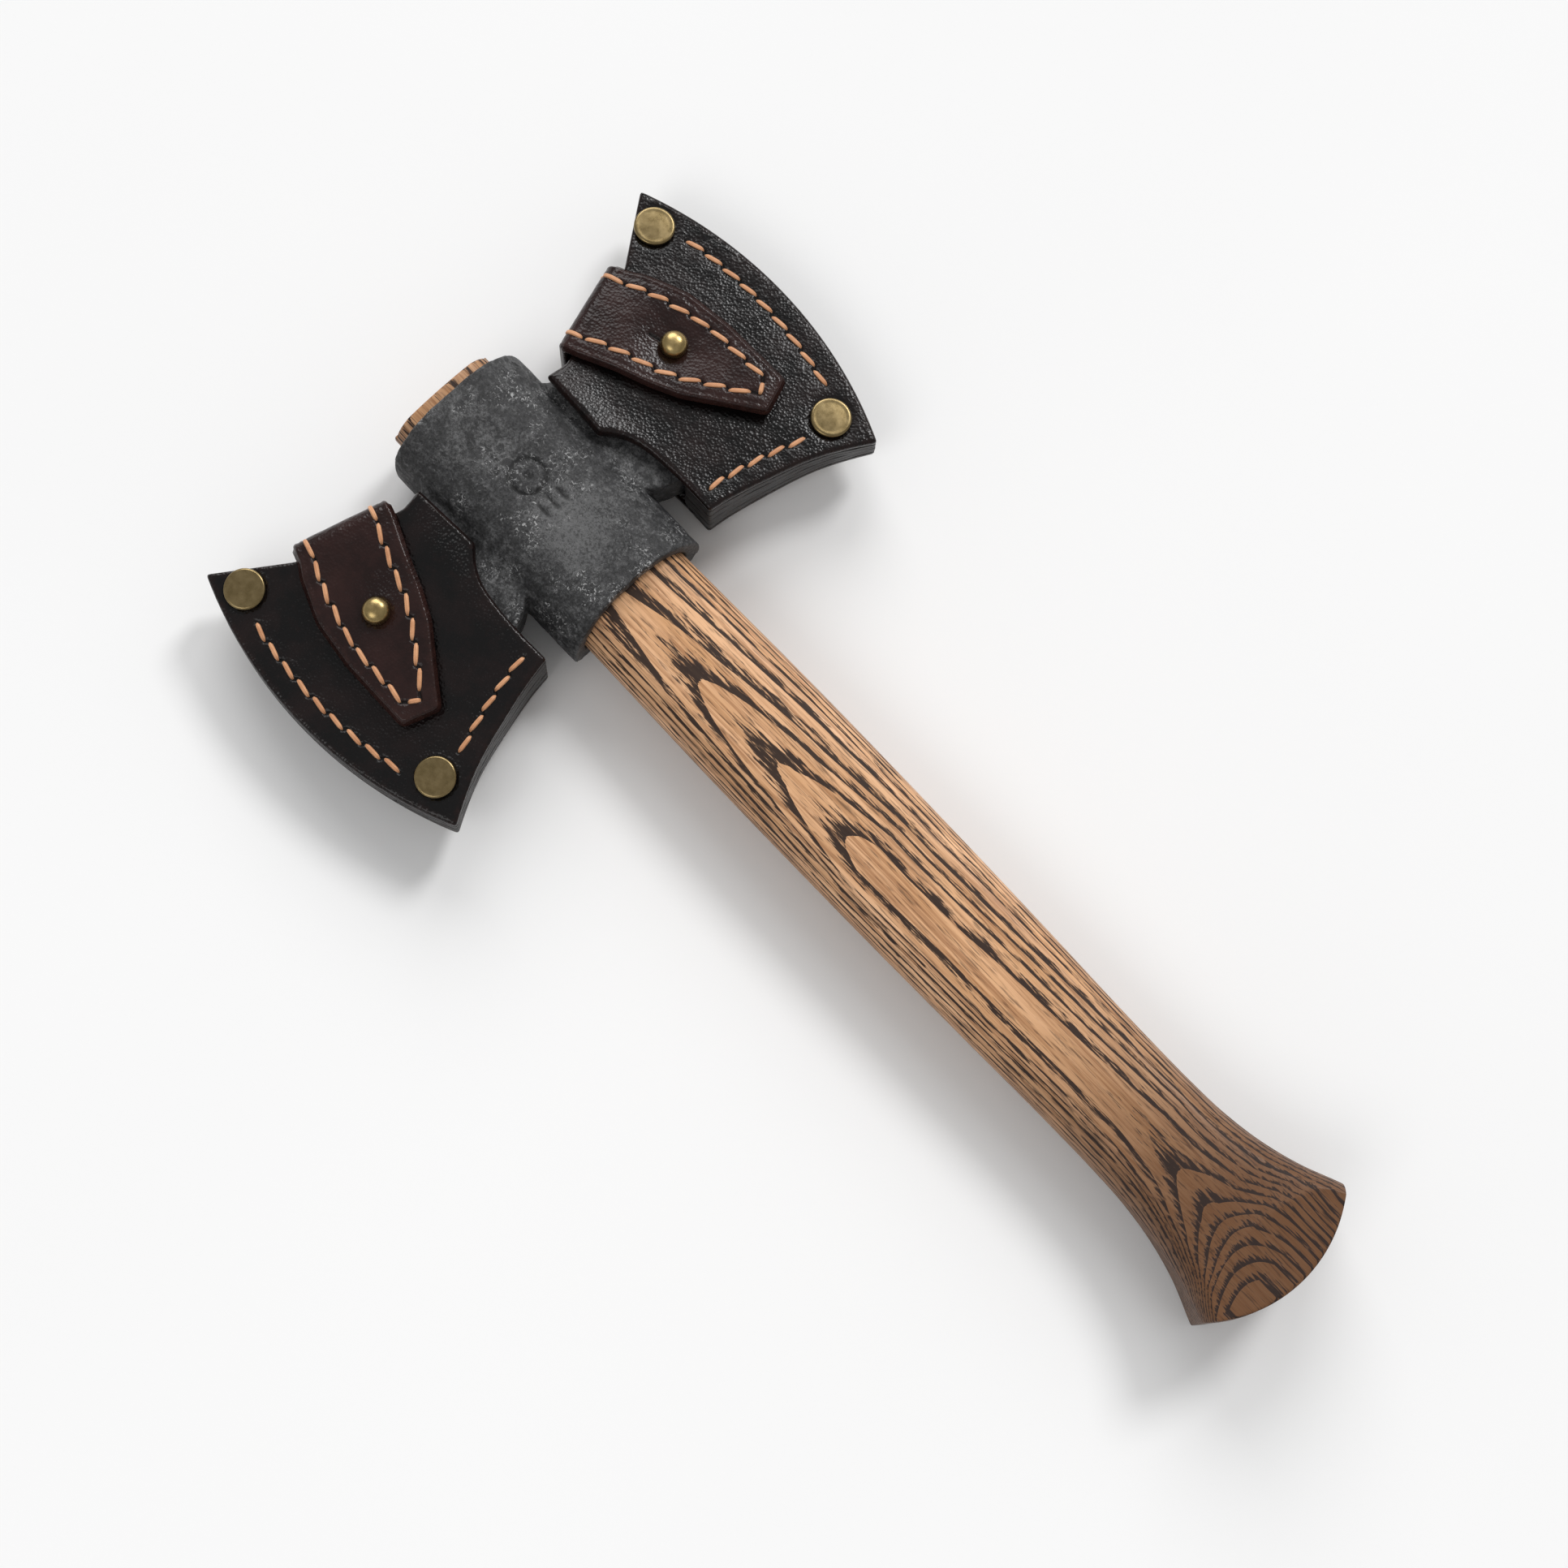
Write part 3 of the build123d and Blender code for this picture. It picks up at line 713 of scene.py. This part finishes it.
def gather(parts):
    """Several (points, faces, attribute) meshes as one."""
    faces, values, start = [], [], 0
    for points, part, value in parts:
        values += list(value)
        faces += [tuple(start + i for i in face) for face in part]
        start += len(points)
    return np.concatenate([part[0] for part in parts]), faces, values


def stitches(ends, seed):
    """One stitch between each pair of holes, each standing a little differently off the leather."""
    dice = random.Random(seed)
    return [stitch_mesh(a, b, 0.14 + dice.uniform(0, 0.08)) for a, b in ends]


def slant(hand, front):
    """The angle by which stitches turn off their row, on one side of a cover."""
    return SLANT * SIDES[hand] * (1 if front else -1)


# ---- covers

def panel_rise(flat):
    """How far a panel bulges from its plane, over the blade and the neck."""
    x, y = flat[:, 0], np.abs(flat[:, 1])
    neck = 2.7 * np.exp(-((y - 17.5) / 11.5) ** 2 - ((x + 1.0) / 28.0) ** 4)
    body = 0.85 * np.exp(-((x + 6) / 26.0) ** 2 - ((y - 52.0) / 17.0) ** 2)
    return neck + body


def panel(hand, front):
    """One side of a cover, with its rounded edges, pressed seams, awl holes and rivet dimples."""
    side = SIDES[hand]
    node = f"{hand}_{'front' if front else 'back'}_panel"
    loop = resample(outline_of(node, 1 if front else -1), 0.7)
    marks = [m for row in ("edge", "heel") for m in stitch_marks(f"{hand}_{row}_stitches", front)]
    ends = slits(stitch_ends(marks, slant(hand, front)))
    rivets = [p.mean(0)[:2] for p in islands(f"{hand}_rivet_posts")]
    points, faces, rims = sheet(loop, LEATHER, 1.1, 0.75, extra=awl_points(ends))
    flat = points[:, :2]
    upper = np.clip(points[:, 2] / LEATHER, 0, 1)
    dips = dent(flat, ends, 0.75, SLIT_WIDTH)
    press = dent(flat, [m[0] for m in marks], 0.22, 2.4)
    dimple = 0.35 * np.exp(-((nearest(flat, rivets) - 5.6) / 1.3) ** 2)
    wander = 0.10 * rumple(points, 9.0, side) + 0.05 * rumple(points, 3.0, side + 4)
    surface = (panel_rise(flat) + wander - press - dimple) * np.minimum(1, rims / 2.0 + 0.35) - dips
    height = half_gap(flat[:, 1]) + points[:, 2] + surface * upper
    placed = columns([flat, off_middle(height, front)])
    # Painted shade round the awl slits on the panel's face.
    holes = dent(flat, ends, 1.0, SLIT_SHADE) * (upper > FACE)
    edge = np.clip(1.15 - rims / 1.9, 0, 1)
    faces = faces if front else flipped(faces)
    made = solid(node + "_leather", placed, faces, COVER, {"hole_shade": holes, "edge": edge})
    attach(made, f"{hand}_cover")
    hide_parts(node)


def welt(hand, node_end, low, high):
    """One layer of the stack between the panels, from one share of the half gap to another."""
    node = f"{hand}_{node_end}"
    loop = resample(outline_of(node), 0.9, soften=1)
    seed = sum(map(ord, node))
    loop = loop + outward(loop) * (0.16 * rumple(columns([loop, loop[:, 0] * 0]), 6.0, seed))[:, None]
    points, faces, _ = sheet(loop, 1.0, 0.16, 2.5, 2.5)
    z = MID + (low + (high - low) * points[:, 2]) * half_gap(points[:, 1])
    made = solid(node + "_leather", columns([points[:, :2], z]), faces, WELT)
    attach(made, f"{hand}_cover")
    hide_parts(node)


def seam_thread(hand, row):
    """The stitches of one seam, on both panels."""
    node = f"{hand}_{row}_stitches"
    parts = []
    for front in (True, False):
        ends = stitch_ends(stitch_marks(node, front), slant(hand, front))
        points, faces, groove = gather(stitches(ends, 7))
        rise = panel_rise(points[:, :2]) * 0.8
        height = half_gap(points[:, 1]) + LEATHER + rise + points[:, 2] - 0.15
        placed = columns([points[:, :2], off_middle(height, front)])
        parts.append((placed, faces if front else flipped(faces), groove))
    points, faces, groove = gather(parts)
    made = solid(node + "_thread", points, faces, THREAD, {"groove": groove})
    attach(made, f"{hand}_cover")
    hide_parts(node)


# ---- metal fittings

def turned(profile):
    """A turned piece from (radius, height) points, closed at the axis."""
    points, faces = [], []
    for k in range(TURNED_STEPS):
        angle = 2 * pi * k / TURNED_STEPS
        points += [(r * cos(angle), r * sin(angle), h) for r, h in profile]
    n = len(profile)
    for k in range(TURNED_STEPS):
        for i in range(n - 1):
            a, b = k * n + i, (k + 1) % TURNED_STEPS * n + i
            faces.append((a, b, b + 1, a + 1))
    faces.append(tuple(k * n for k in range(TURNED_STEPS))[::-1])
    faces.append(tuple(k * n + n - 1 for k in range(TURNED_STEPS)))
    return np.array(points), faces


def cap_profile():
    """A rivet cap: a nearly flat face, a shallow groove inside a bevelled rim, and a straight skirt."""
    skirt = [(5.95, 0.0), (6.0, 0.15), (6.0, 0.75)]
    rim = [(6.0 - 0.75 * (1 - cos(a)), 0.75 + 0.62 * sin(a)) for a in np.linspace(0.25, 1.45, 6)]
    face = [(4.95, 1.36), (4.6, 1.33), (4.2, 1.34), (3.0, 1.40), (1.5, 1.44), (0.05, 1.45)]
    return skirt + rim + face


def ball_profile():
    """The stud: a flange, a waisted neck and a slightly flattened ball."""
    centre = STRAP_GAP + STRAP + SEAT
    low = [(3.55, 0.0), (3.6, 0.12), (3.6, 0.40), (3.3, 0.5), (2.3, 0.62), (2.15, 1.0), (2.1, centre - 2.6)]
    ball = []
    for angle in np.linspace(0.72, pi - 0.01, 34):
        c, s = -cos(angle), sin(angle)
        tall = 3.3 if c > 0 else 2.9
        ball.append((4.0 * s ** 0.84, centre + tall * copysign(abs(c) ** 0.84, c)))
    return low + ball


def tilted(points, place, front):
    """Points placed on a panel's outer side, standing square to it."""
    x, y = place
    sign = 1 if y > 0 else -1
    up = Vector((0, sign * TAPER, 1 if front else -1)).normalized()
    right = Vector((1, 0, 0)) if front else Vector((-1, 0, 0))
    ahead = up.cross(right)
    height = half_gap(y) + LEATHER
    origin = Vector((x, y, off_middle(height, front)))
    turn = Matrix((right, ahead, up)).transposed()
    return np.array(points) @ np.array(turn).T + np.array(origin)


def rivet_caps(hand, front):
    """The caps of a cover's rivets on one side."""
    node = f"{hand}_{'rivet_caps' if front else 'rivet_back_caps'}"
    parts = []
    for found in islands(f"{hand}_rivet_posts"):
        points, faces = turned(cap_profile())
        parts.append((tilted(points, found.mean(0)[:2], front), faces, [0] * len(points)))
    points, faces, _ = gather(parts)
    made = solid(node + "_brass", points, faces, OLD_BRASS)
    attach(made, f"{hand}_cover")
    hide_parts(node)


def middle_of(node):
    """The middle of a CAD node's box, in plan."""
    low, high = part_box(node)
    return ((low.x + high.x) / 2 / MM, (low.y + high.y) / 2 / MM)


def stud(hand):
    """The ball stud that holds the strap."""
    x, y = middle_of(f"{hand}_stud")
    tip = TAPER * (LEATHER + 5.0) * SIDES[hand]  # it leans, so its foot isn't below its middle
    points, faces = turned(ball_profile())
    made = solid(f"{hand}_stud_brass", tilted(points, (x, y - tip), True), faces, BRIGHT_BRASS)
    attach(made, f"{hand}_cover")
    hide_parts(f"{hand}_stud")


# ---- straps

class Wrap:
    """How a strap, laid out flat, goes round the toe side of its cover.

    Flat coordinates are p along the bend and q across it; q is 0 halfway round the side wall, positive
    towards the flap and negative towards the sewn base.
    """

    def __init__(self, hand):
        joint = next(j for j in frame["joints"] if j["name"] == f"{hand}_strap_hinge")
        self.pivot = np.array(joint["pos_m"]) / MM
        axis = np.array(joint["axis"][:2])
        self.along = axis / np.linalg.norm(axis)
        self.across = np.array([-self.along[1], self.along[0]])
        self.wall = 2 * half_gap(self.pivot[1]) + 3.4  # height of its straight part
        self.flat_start = self.wall / 2 + BEND * pi / 2
        self.stud = self.flatten([middle_of(f"{hand}_stud_screw")], True)[0]

    def flatten(self, plan, front):
        """Plan points of the flap, or of the base, as (p, q)."""
        away = np.asarray(plan) - self.pivot[:2]
        q = self.flat_start + away @ self.across
        return columns([away @ self.along, q if front else -q])

    def place(self, flat, height):
        """3-D points at the (p, q) of flat, a height out from the strap's middle layer."""
        p, q = flat.T
        sign = np.where(q >= 0, 1.0, -1.0)
        reach = np.abs(q)
        angle = np.clip((reach - self.wall / 2) / BEND, 0, pi / 2)
        inward = np.maximum(reach - self.flat_start, 0)
        across = inward - BEND * np.cos(angle) - height * np.cos(angle)
        plan = self.pivot[:2] + np.outer(p, self.along) + np.outer(across, self.across)
        gap = half_gap(plan[:, 1])
        top = np.where(sign > 0, gap + 2.0, gap + 1.4)
        level = np.clip(reach / (self.wall / 2), 0, 1)
        z = MID + 0.3 * (1 - level) + sign * (level * top + (BEND + height) * np.sin(angle))
        return columns([plan, z])


def strap_outline(hand, wrap):
    """The whole strap laid out flat: flap, bend and sewn base."""
    flap = wrap.flatten(outline_of(f"{hand}_strap_flap"), True)
    base = wrap.flatten(outline_of(f"{hand}_strap_base", -1), False)[::-1]

    def open_at_bend(loop, sign):
        """The loop without the edge along the bend, starting after it."""
        reach = loop[:, 1] * sign
        edge = np.flatnonzero(reach < reach.min() + 0.6)
        cut = next(i for i in edge if (i + 1) % len(loop) in edge) + 1
        return np.roll(loop, -cut, 0)

    return np.concatenate([open_at_bend(flap, 1), open_at_bend(base, -1)])


def cup(flat, wrap):
    """How far the ball of the stud presses the flap's outer side in."""
    return 0.9 * np.exp(-(np.hypot(*(flat - wrap.stud).T) / 3.6) ** 2)


def flap_lift(flat, wrap):
    """How far the flap stands off the panel: most at its free edges, least where the stud holds it."""
    from_stud = np.hypot(*(flat - wrap.stud).T)
    free = np.clip(np.maximum(flat[:, 1] - wrap.flat_start, 0) / 14.0, 0, 1)
    return (0.5 + 1.5 * (1 - np.exp(-(from_stud / 13.0) ** 2))) * free


def strap(hand):
    """The buttoned strap in one piece, with its stitching, from its sewn base to the tip of its flap."""
    side = SIDES[hand]
    wrap = Wrap(hand)
    loop = resample(strap_outline(hand, wrap), 0.8, 0.5, soften=3)
    ends = strap_ends(hand, wrap)
    knots = slits(ends)
    slit = [wrap.stud - np.array([0.0, 2.5 + 0.3 * k]) for k in range(18)]
    extra = awl_points(knots) + [tuple(k) for k in slit]
    points, faces, rims = sheet(loop, STRAP, 1.0, 0.75, back_spacing=1.2, flare=0.7, extra=extra)
    flat = points[:, :2]
    upper = np.clip(points[:, 2] / STRAP, 0, 1)
    crease = 0.22 * np.exp(-((rims - 2.5) / 0.35) ** 2) * (upper > FACE)
    dips = dent(flat, knots, 0.8, SLIT_WIDTH) + crease
    slit_dip = dent(flat, slit, 0.9, 0.32) if side > 0 else 0
    wander = 0.10 * rumple(points, 8.0, side + 20) + 0.06 * rumple(points, 2.6, side + 30)
    surface = (wander - dips - slit_dip - cup(flat, wrap)) * upper
    placed = wrap.place(flat, points[:, 2] - STRAP / 2 + surface + flap_lift(flat, wrap))
    # Painted shade round the awl slits, and on the right strap in its button slit too.
    holes = dent(flat, knots, 1.0, SLIT_SHADE) * (upper > FACE)
    if side > 0:
        holes = np.maximum(holes, dent(flat, slit, 1.0, 0.3) * (upper > FACE))
    edge = np.clip(1.15 - rims / 2.6, 0, 1)
    made = solid(f"{hand}_strap_leather", placed, faces, STRAP_SKIN, {"hole_shade": holes, "edge": edge})
    bend_strap(made)
    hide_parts(*(f"{hand}_strap_{end}" for end in ("flap", "fold", "base")))
    strap_thread(hand, wrap, ends)


def bend_strap(piece):
    """Bakes a piece's placing into its mesh."""
    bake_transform(piece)


def strap_ends(hand, wrap):
    """The two ends of each of the strap's stitches, laid out flat: flap, base and bend."""
    rows = []
    for front, row in ((True, "strap_stitches"), (False, "strap_base_stitches")):
        pairs = stitch_ends(stitch_marks(f"{hand}_{row}", front), slant(hand, front))
        rows.append([tuple(wrap.flatten(pair, front)) for pair in pairs])
    front, back = rows
    made = front + back
    # Both rows go on round the bend, from the flap's first stitch to the base's last.
    tops = sorted((p for pair in front for p in pair), key=lambda p: p[1])
    lows = sorted((p for pair in back for p in pair), key=lambda p: -p[1])
    top_pair = [tops[0], next(p for p in tops if abs(p[0] - tops[0][0]) > 6)]
    low_pair = [lows[0], next(p for p in lows if abs(p[0] - lows[0][0]) > 6)]
    for a, b in zip(sorted(top_pair, key=lambda p: p[0]), sorted(low_pair, key=lambda p: p[0])):
        count = max(1, round(np.linalg.norm(b - a) / 7.2))
        for k in range(count):
            made.append((a + (b - a) * (k + 0.12) / count, a + (b - a) * (k + 0.94) / count))
    return made


def strap_thread(hand, wrap, ends):
    """The saddle stitches round the strap."""
    parts = []
    for points, faces, groove in stitches(ends, 11):
        flat = points[:, :2]
        height = STRAP / 2 + points[:, 2] + flap_lift(flat, wrap) - cup(flat, wrap) - 0.05
        parts.append((wrap.place(flat, height), faces, groove))
    points, faces, groove = gather(parts)
    made = solid(f"{hand}_strap_thread", points, faces, THREAD, {"groove": groove})
    bend_strap(made)
    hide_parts(f"{hand}_strap_stitches", f"{hand}_strap_base_stitches")


# ---- handle

TONGUE_TOP = -43.35
TONGUE = (35.2, 20.4)
SEAT_X = 34.0
KNOB_END = 302.5
KNOB_RADIUS = 43.1
KNOB_ROUND = 1.5  # length of the rounding at the knob's end
FLARE_X = 256.0  # from here on the rings of points curve like the knob's end
THICKNESS = 32.0
SECTIONS = [  # x, width, thickness, corner radius
    (TONGUE_TOP, *TONGUE, 10.1),
    (SEAT_X, 38.0, 22.6, 11.2),
    (62.0, 38.8, 24.0, 11.6),
    (90.0, 39.4, 25.0, 11.6),
    (140.0, 39.2, 25.4, 11.8),
    (190.0, 37.8, 25.4, 11.8),
    (228.0, 36.4, 25.4, 11.8),
    (242.0, 36.4, 25.6, 11.8),
    (256.0, 37.4, 26.6, 11.6),
    (268.0, 40.4, 28.6, 11.0),
    (280.0, 46.2, 31.0, 10.0),
    (292.0, 54.8, 35.6, 9.0),
    (303.0, 61.5, 39.0, 8.4),
]


def smooth_table(x):
    """Width, thickness and corner radius of the handle at x, on a smooth curve through its sections."""
    table = np.array(SECTIONS)
    at = table[:, 0]
    slope = np.gradient(table, at, axis=0)
    slope[:2] = (table[1] - table[0]) / (at[1] - at[0])
    i = np.clip(np.searchsorted(at, x) - 1, 0, len(at) - 2)
    step = (at[i + 1] - at[i])[:, None]
    t = np.clip((x - at[i])[:, None] / step, 0, 1)
    made = ((2 * t ** 3 - 3 * t ** 2 + 1) * table[i] + (t ** 3 - 2 * t ** 2 + t) * step * slope[i]
            + (3 * t ** 2 - 2 * t ** 3) * table[i + 1] + (t ** 3 - t ** 2) * step * slope[i + 1])
    return made[:, 1], made[:, 2], made[:, 3]


def handle():
    """The ash handle: tongue, swelling grip, and a flared knob cut flat above and below."""
    around = 176
    stations = np.concatenate([
        [TONGUE_TOP + 0.02, TONGUE_TOP + 0.15, TONGUE_TOP + 0.5], np.arange(-42, 250, 1.6),
        np.arange(250, KNOB_END - KNOB_ROUND, 0.45), KNOB_END - np.array([1.2, 0.8, 0.5, 0.25, 0.08])])
    turn = np.linspace(0, 2 * pi, around, endpoint=False)
    points = []
    centre = KNOB_END - KNOB_RADIUS
    for nominal in stations:
        x = np.full(around, nominal)
        for _ in range(6):
            width, thick, radius = smooth_table(x)
            y, z = rounded(turn, width, thick, radius)
            if nominal <= FLARE_X:
                break
            reach = centre + np.sqrt(np.maximum(KNOB_RADIUS ** 2 - y ** 2, 1.0))
            x = FLARE_X + (nominal - FLARE_X) * (reach - FLARE_X) / (KNOB_END - FLARE_X)
        z = np.clip(z, -THICKNESS / 2, THICKNESS / 2)
        trim = 1.0
        if nominal < TONGUE_TOP + 1:
            trim = 1 - 0.030 * (1 - (nominal - TONGUE_TOP)) ** 3
        if nominal > KNOB_END - KNOB_ROUND:
            trim = 1 - 0.026 * ((nominal - KNOB_END + KNOB_ROUND) / KNOB_ROUND) ** 3
        points.append(columns([x, y * trim, MID + z * trim]))
    last = points[-1]
    for share in (0.8, 0.5, 0.2):
        ring = last.copy()
        ring[:, 1] *= share
        ring[:, 2] = MID + (ring[:, 2] - MID) * share
        ring[:, 0] = centre + np.sqrt(KNOB_RADIUS ** 2 - ring[:, 1] ** 2) - 0.05
        points.append(ring)
    faces = tube(len(points), around)
    points = np.concatenate(points)
    drawn = points * (0.3, 1, 1)
    points[:, 1:] += 0.05 * columns([rumple(drawn, 14.0, 3), rumple(drawn, 12.0, 5)])
    points[:, 2] = np.clip(points[:, 2], 0.0, THICKNESS)
    made = solid("ash_handle", points, faces, ASH)
    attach(made, "axe")
    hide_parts("handle")


def rounded(turn, width, thick, radius):
    """Points round a rounded rectangle about (0, 0), by angle."""
    radius = np.minimum(radius, thick / 2 - 0.01)
    c, s = np.cos(turn), np.sin(turn)
    # An angle picks a point on the corner arcs, and the straights are shared out near the axes.
    y = np.sign(c) * (width / 2 - radius) * np.minimum(1, np.abs(c) * 2.2) + radius * c
    z = np.sign(s) * (thick / 2 - radius) * np.minimum(1, np.abs(s) * 6.0) + radius * s
    return y, z


# ---- head

VOXEL = 0.5
STAMP = (-6.0, 0.0)  # middle of the stamped ring
RING_RADIUS = 5.2
BARS_X = 10.4  # middle of the three bars, from the ring's
BARS_Y = (-3.6, 0.0, 3.6)
EDGE_CENTRE = (2.6, 23.8)  # x, and how far behind the handle's middle, the edge's arc is centred
EDGE_RADIUS = 104.5
RIM_RADIUS = 97  # beyond this the blade is drawn out to its edge
BEVEL_RADIUS = 101.5  # beyond this it thins to its edge


def head():
    """The forged head, remeshed from the CAD solid and hammered."""
    mesh = frame["nodes"]["head"].data.copy()
    made = linked("forged_head", mesh)
    bm = cad_mesh("head")
    bm.to_mesh(mesh)
    bm.free()
    remesh = made.modifiers.new("remesh", "REMESH")
    remesh.mode = "VOXEL"
    remesh.voxel_size = VOXEL * MM
    smooth = made.modifiers.new("smooth", "SMOOTH")
    smooth.iterations = 7
    smooth.factor = 0.5
    depsgraph = bpy.context.evaluated_depsgraph_get()
    final = bpy.data.meshes.new_from_object(made.evaluated_get(depsgraph))
    made.modifiers.clear()
    made.data = final
    hammer(final)
    final.materials.clear()
    final.materials.append(STEEL)
    final.shade_smooth()
    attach(made, "axe")
    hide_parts("head")


def hammer(mesh):
    """Facets, pits, a plain stamp of a ring, a dot and three bars, and the blades' edges drawn out thin."""
    co, normals = (np.zeros(len(mesh.vertices) * 3, np.float32) for _ in range(2))
    mesh.vertices.foreach_get("co", co)
    mesh.vertices.foreach_get("normal", normals)
    co, normals = co.reshape(-1, 3).astype(float) / MM, normals.reshape(-1, 3)
    dents = -0.26 * np.abs(rumple(co, 11.0, 1)) + 0.12 * rumple(co, 5.0, 2) + 0.05 * rumple(co, 1.9, 3)
    pits = np.maximum(0, rumple(co, 1.5, 4) - 0.42) * 0.55 + np.maximum(0, rumple(co, 3.4, 6) - 0.5) * 0.5
    move = dents - pits + 0.08
    x, y = co[:, 0] - STAMP[0], co[:, 1] - STAMP[1]
    radius = np.hypot(x, y)
    cheek = (co[:, 2] > MID + 12) & (np.abs(co[:, 1]) < 12)
    mark = 0.9 * np.exp(-((radius - RING_RADIUS) / 0.55) ** 2) + 0.9 * np.exp(-(radius / 1.1) ** 2)
    for across in BARS_Y:
        mark = mark + 0.8 * np.exp(-((x - BARS_X) / 2.8) ** 4 - ((y - across) / 0.55) ** 2)
    mark = mark * cheek
    move = move - mark
    # The stamp attribute sets painted shade in the pressed marks.
    stamped = mesh.attributes.new("stamp", "FLOAT", "POINT")
    stamped.data.foreach_set("value", np.clip(mark * 1.1, 0, 0.85).astype(np.float32))
    blade = np.clip((np.abs(co[:, 1]) - 40) / 20, 0, 1)
    move = move * (1 - 0.7 * blade)
    inner = (np.abs(co[:, 1]) < 20.5) & (np.abs(co[:, 2] - MID) < 13.0)
    move = np.where(inner & (np.abs(co[:, 0]) < 36), 0, move)
    co = co + normals * move[:, None]
    co[:, 2] = np.maximum(co[:, 2], 0.0)
    sharpen(co)
    mesh.vertices.foreach_set("co", (co * MM).astype(np.float32).ravel())
    mesh.update()


def sharpen(co):
    """Draws the rim of each blade out to its cutting edge and thins it there."""
    x, y, z = co.T
    dx, dy = x - EDGE_CENTRE[0], np.abs(y) + EDGE_CENTRE[1]
    r = np.hypot(dx, dy)
    on_blade = (np.abs(y) > 50) & (r > RIM_RADIUS)
    top = r[on_blade].max()
    drawn = RIM_RADIUS + (r - RIM_RADIUS) * (EDGE_RADIUS - RIM_RADIUS) / (top - RIM_RADIUS)
    scale = np.where(on_blade, drawn / r, 1)
    cheek = 3.6 - 2.6 * (drawn - 84) / 17.5
    bevel = 1.0 - (drawn - BEVEL_RADIUS) / 3.0 * 0.94
    limit = np.maximum(np.where(drawn < BEVEL_RADIUS, cheek, bevel), 0.04)
    off = np.where(on_blade, np.clip(z - MID, -limit, limit), z - MID)
    co[:] = columns([EDGE_CENTRE[0] + dx * scale, np.sign(y) * (dy * scale - EDGE_CENTRE[1]), MID + off])


# ---- stage

def studio():
    """A pale sheet to lie on, soft light from above the toe end, and the camera nearly overhead."""
    bpy.ops.mesh.primitive_plane_add(size=FLOOR_SIZE, location=(0.1, 0, -0.0002))
    floor = bpy.context.object
    floor.name = "floor"
    floor.data.materials.append(pale_floor())

    scene = bpy.context.scene
    scene.world = bpy.data.worlds.new("studio")
    scene.world.use_nodes = True
    background = scene.world.node_tree.nodes["Background"]
    background.inputs[0].default_value = (1.0, 1.0, 1.0, 1.0)
    background.inputs[1].default_value = WORLD_LIGHT

    for toward, angle, power in LAMPS:
        lamp = bpy.data.lights.new("softbox", "SUN")
        lamp.angle = radians(angle)
        lamp.energy = power
        holder = linked("softbox", lamp)
        holder.rotation_mode = "QUATERNION"
        holder.rotation_quaternion = Vector(toward).to_track_quat("Z", "Y")

    data = bpy.data.cameras.new("camera")
    data.sensor_width = 36.0
    data.lens = CAMERA_LENS
    camera = linked("camera", data)
    right, up, ahead = (Vector(v) for v in (CAMERA_RIGHT, CAMERA_UP, CAMERA_AHEAD))
    turn = Matrix((right, up, -ahead)).transposed()
    camera.matrix_world = Matrix.Translation(CAMERA_PLACE) @ turn.to_4x4()
    scene.camera = camera
    scene.view_settings.view_transform = "Standard"


CAMERA_PLACE = (0.21027, -0.14806, 0.9132)
CAMERA_RIGHT = (0.6894, 0.7236, 0.0342)
CAMERA_UP = (-0.7153, 0.6724, 0.1903)
CAMERA_AHEAD = (-0.1147, 0.1556, -0.9811)
CAMERA_LENS = 74.53
FLOOR_SIZE = 24.0
WORLD_LIGHT = 0.44
LAMPS = [  # where each softbox stands, its angle across, its power
    ((-0.10, 0.72, 0.69), 16.0, 1.25),
    ((-0.66, 0.52, 0.54), 38.0, 1.45),
    ((0.05, -0.64, 0.77), 30.0, 0.50),
]


# ---- the model

head()
handle()
for hand in SIDES:
    panel(hand, True)
    panel(hand, False)
    welt(hand, "edge_welt_front", 0.0, 1.0)
    welt(hand, "edge_welt_back", -1.0, 0.0)
    for number in range(1, 5):
        welt(hand, f"heel_welt_{number}", -1 + (number - 1) * 0.5, -1 + number * 0.5)
    seam_thread(hand, "edge")
    seam_thread(hand, "heel")
    rivet_caps(hand, True)
    rivet_caps(hand, False)
    stud(hand)
    strap(hand)

# The pieces that keep their CAD shape.
kept = {"wooden_wedge": WEDGE_ASH, "steel_wedge": WEDGE_STEEL}
for hand in SIDES:
    kept[f"{hand}_rivet_posts"] = OLD_BRASS
    kept[f"{hand}_stud_screw"] = BRIGHT_BRASS
for name, material in kept.items():
    frame["nodes"][name].data.materials.clear()
    frame["nodes"][name].data.materials.append(material)

studio()
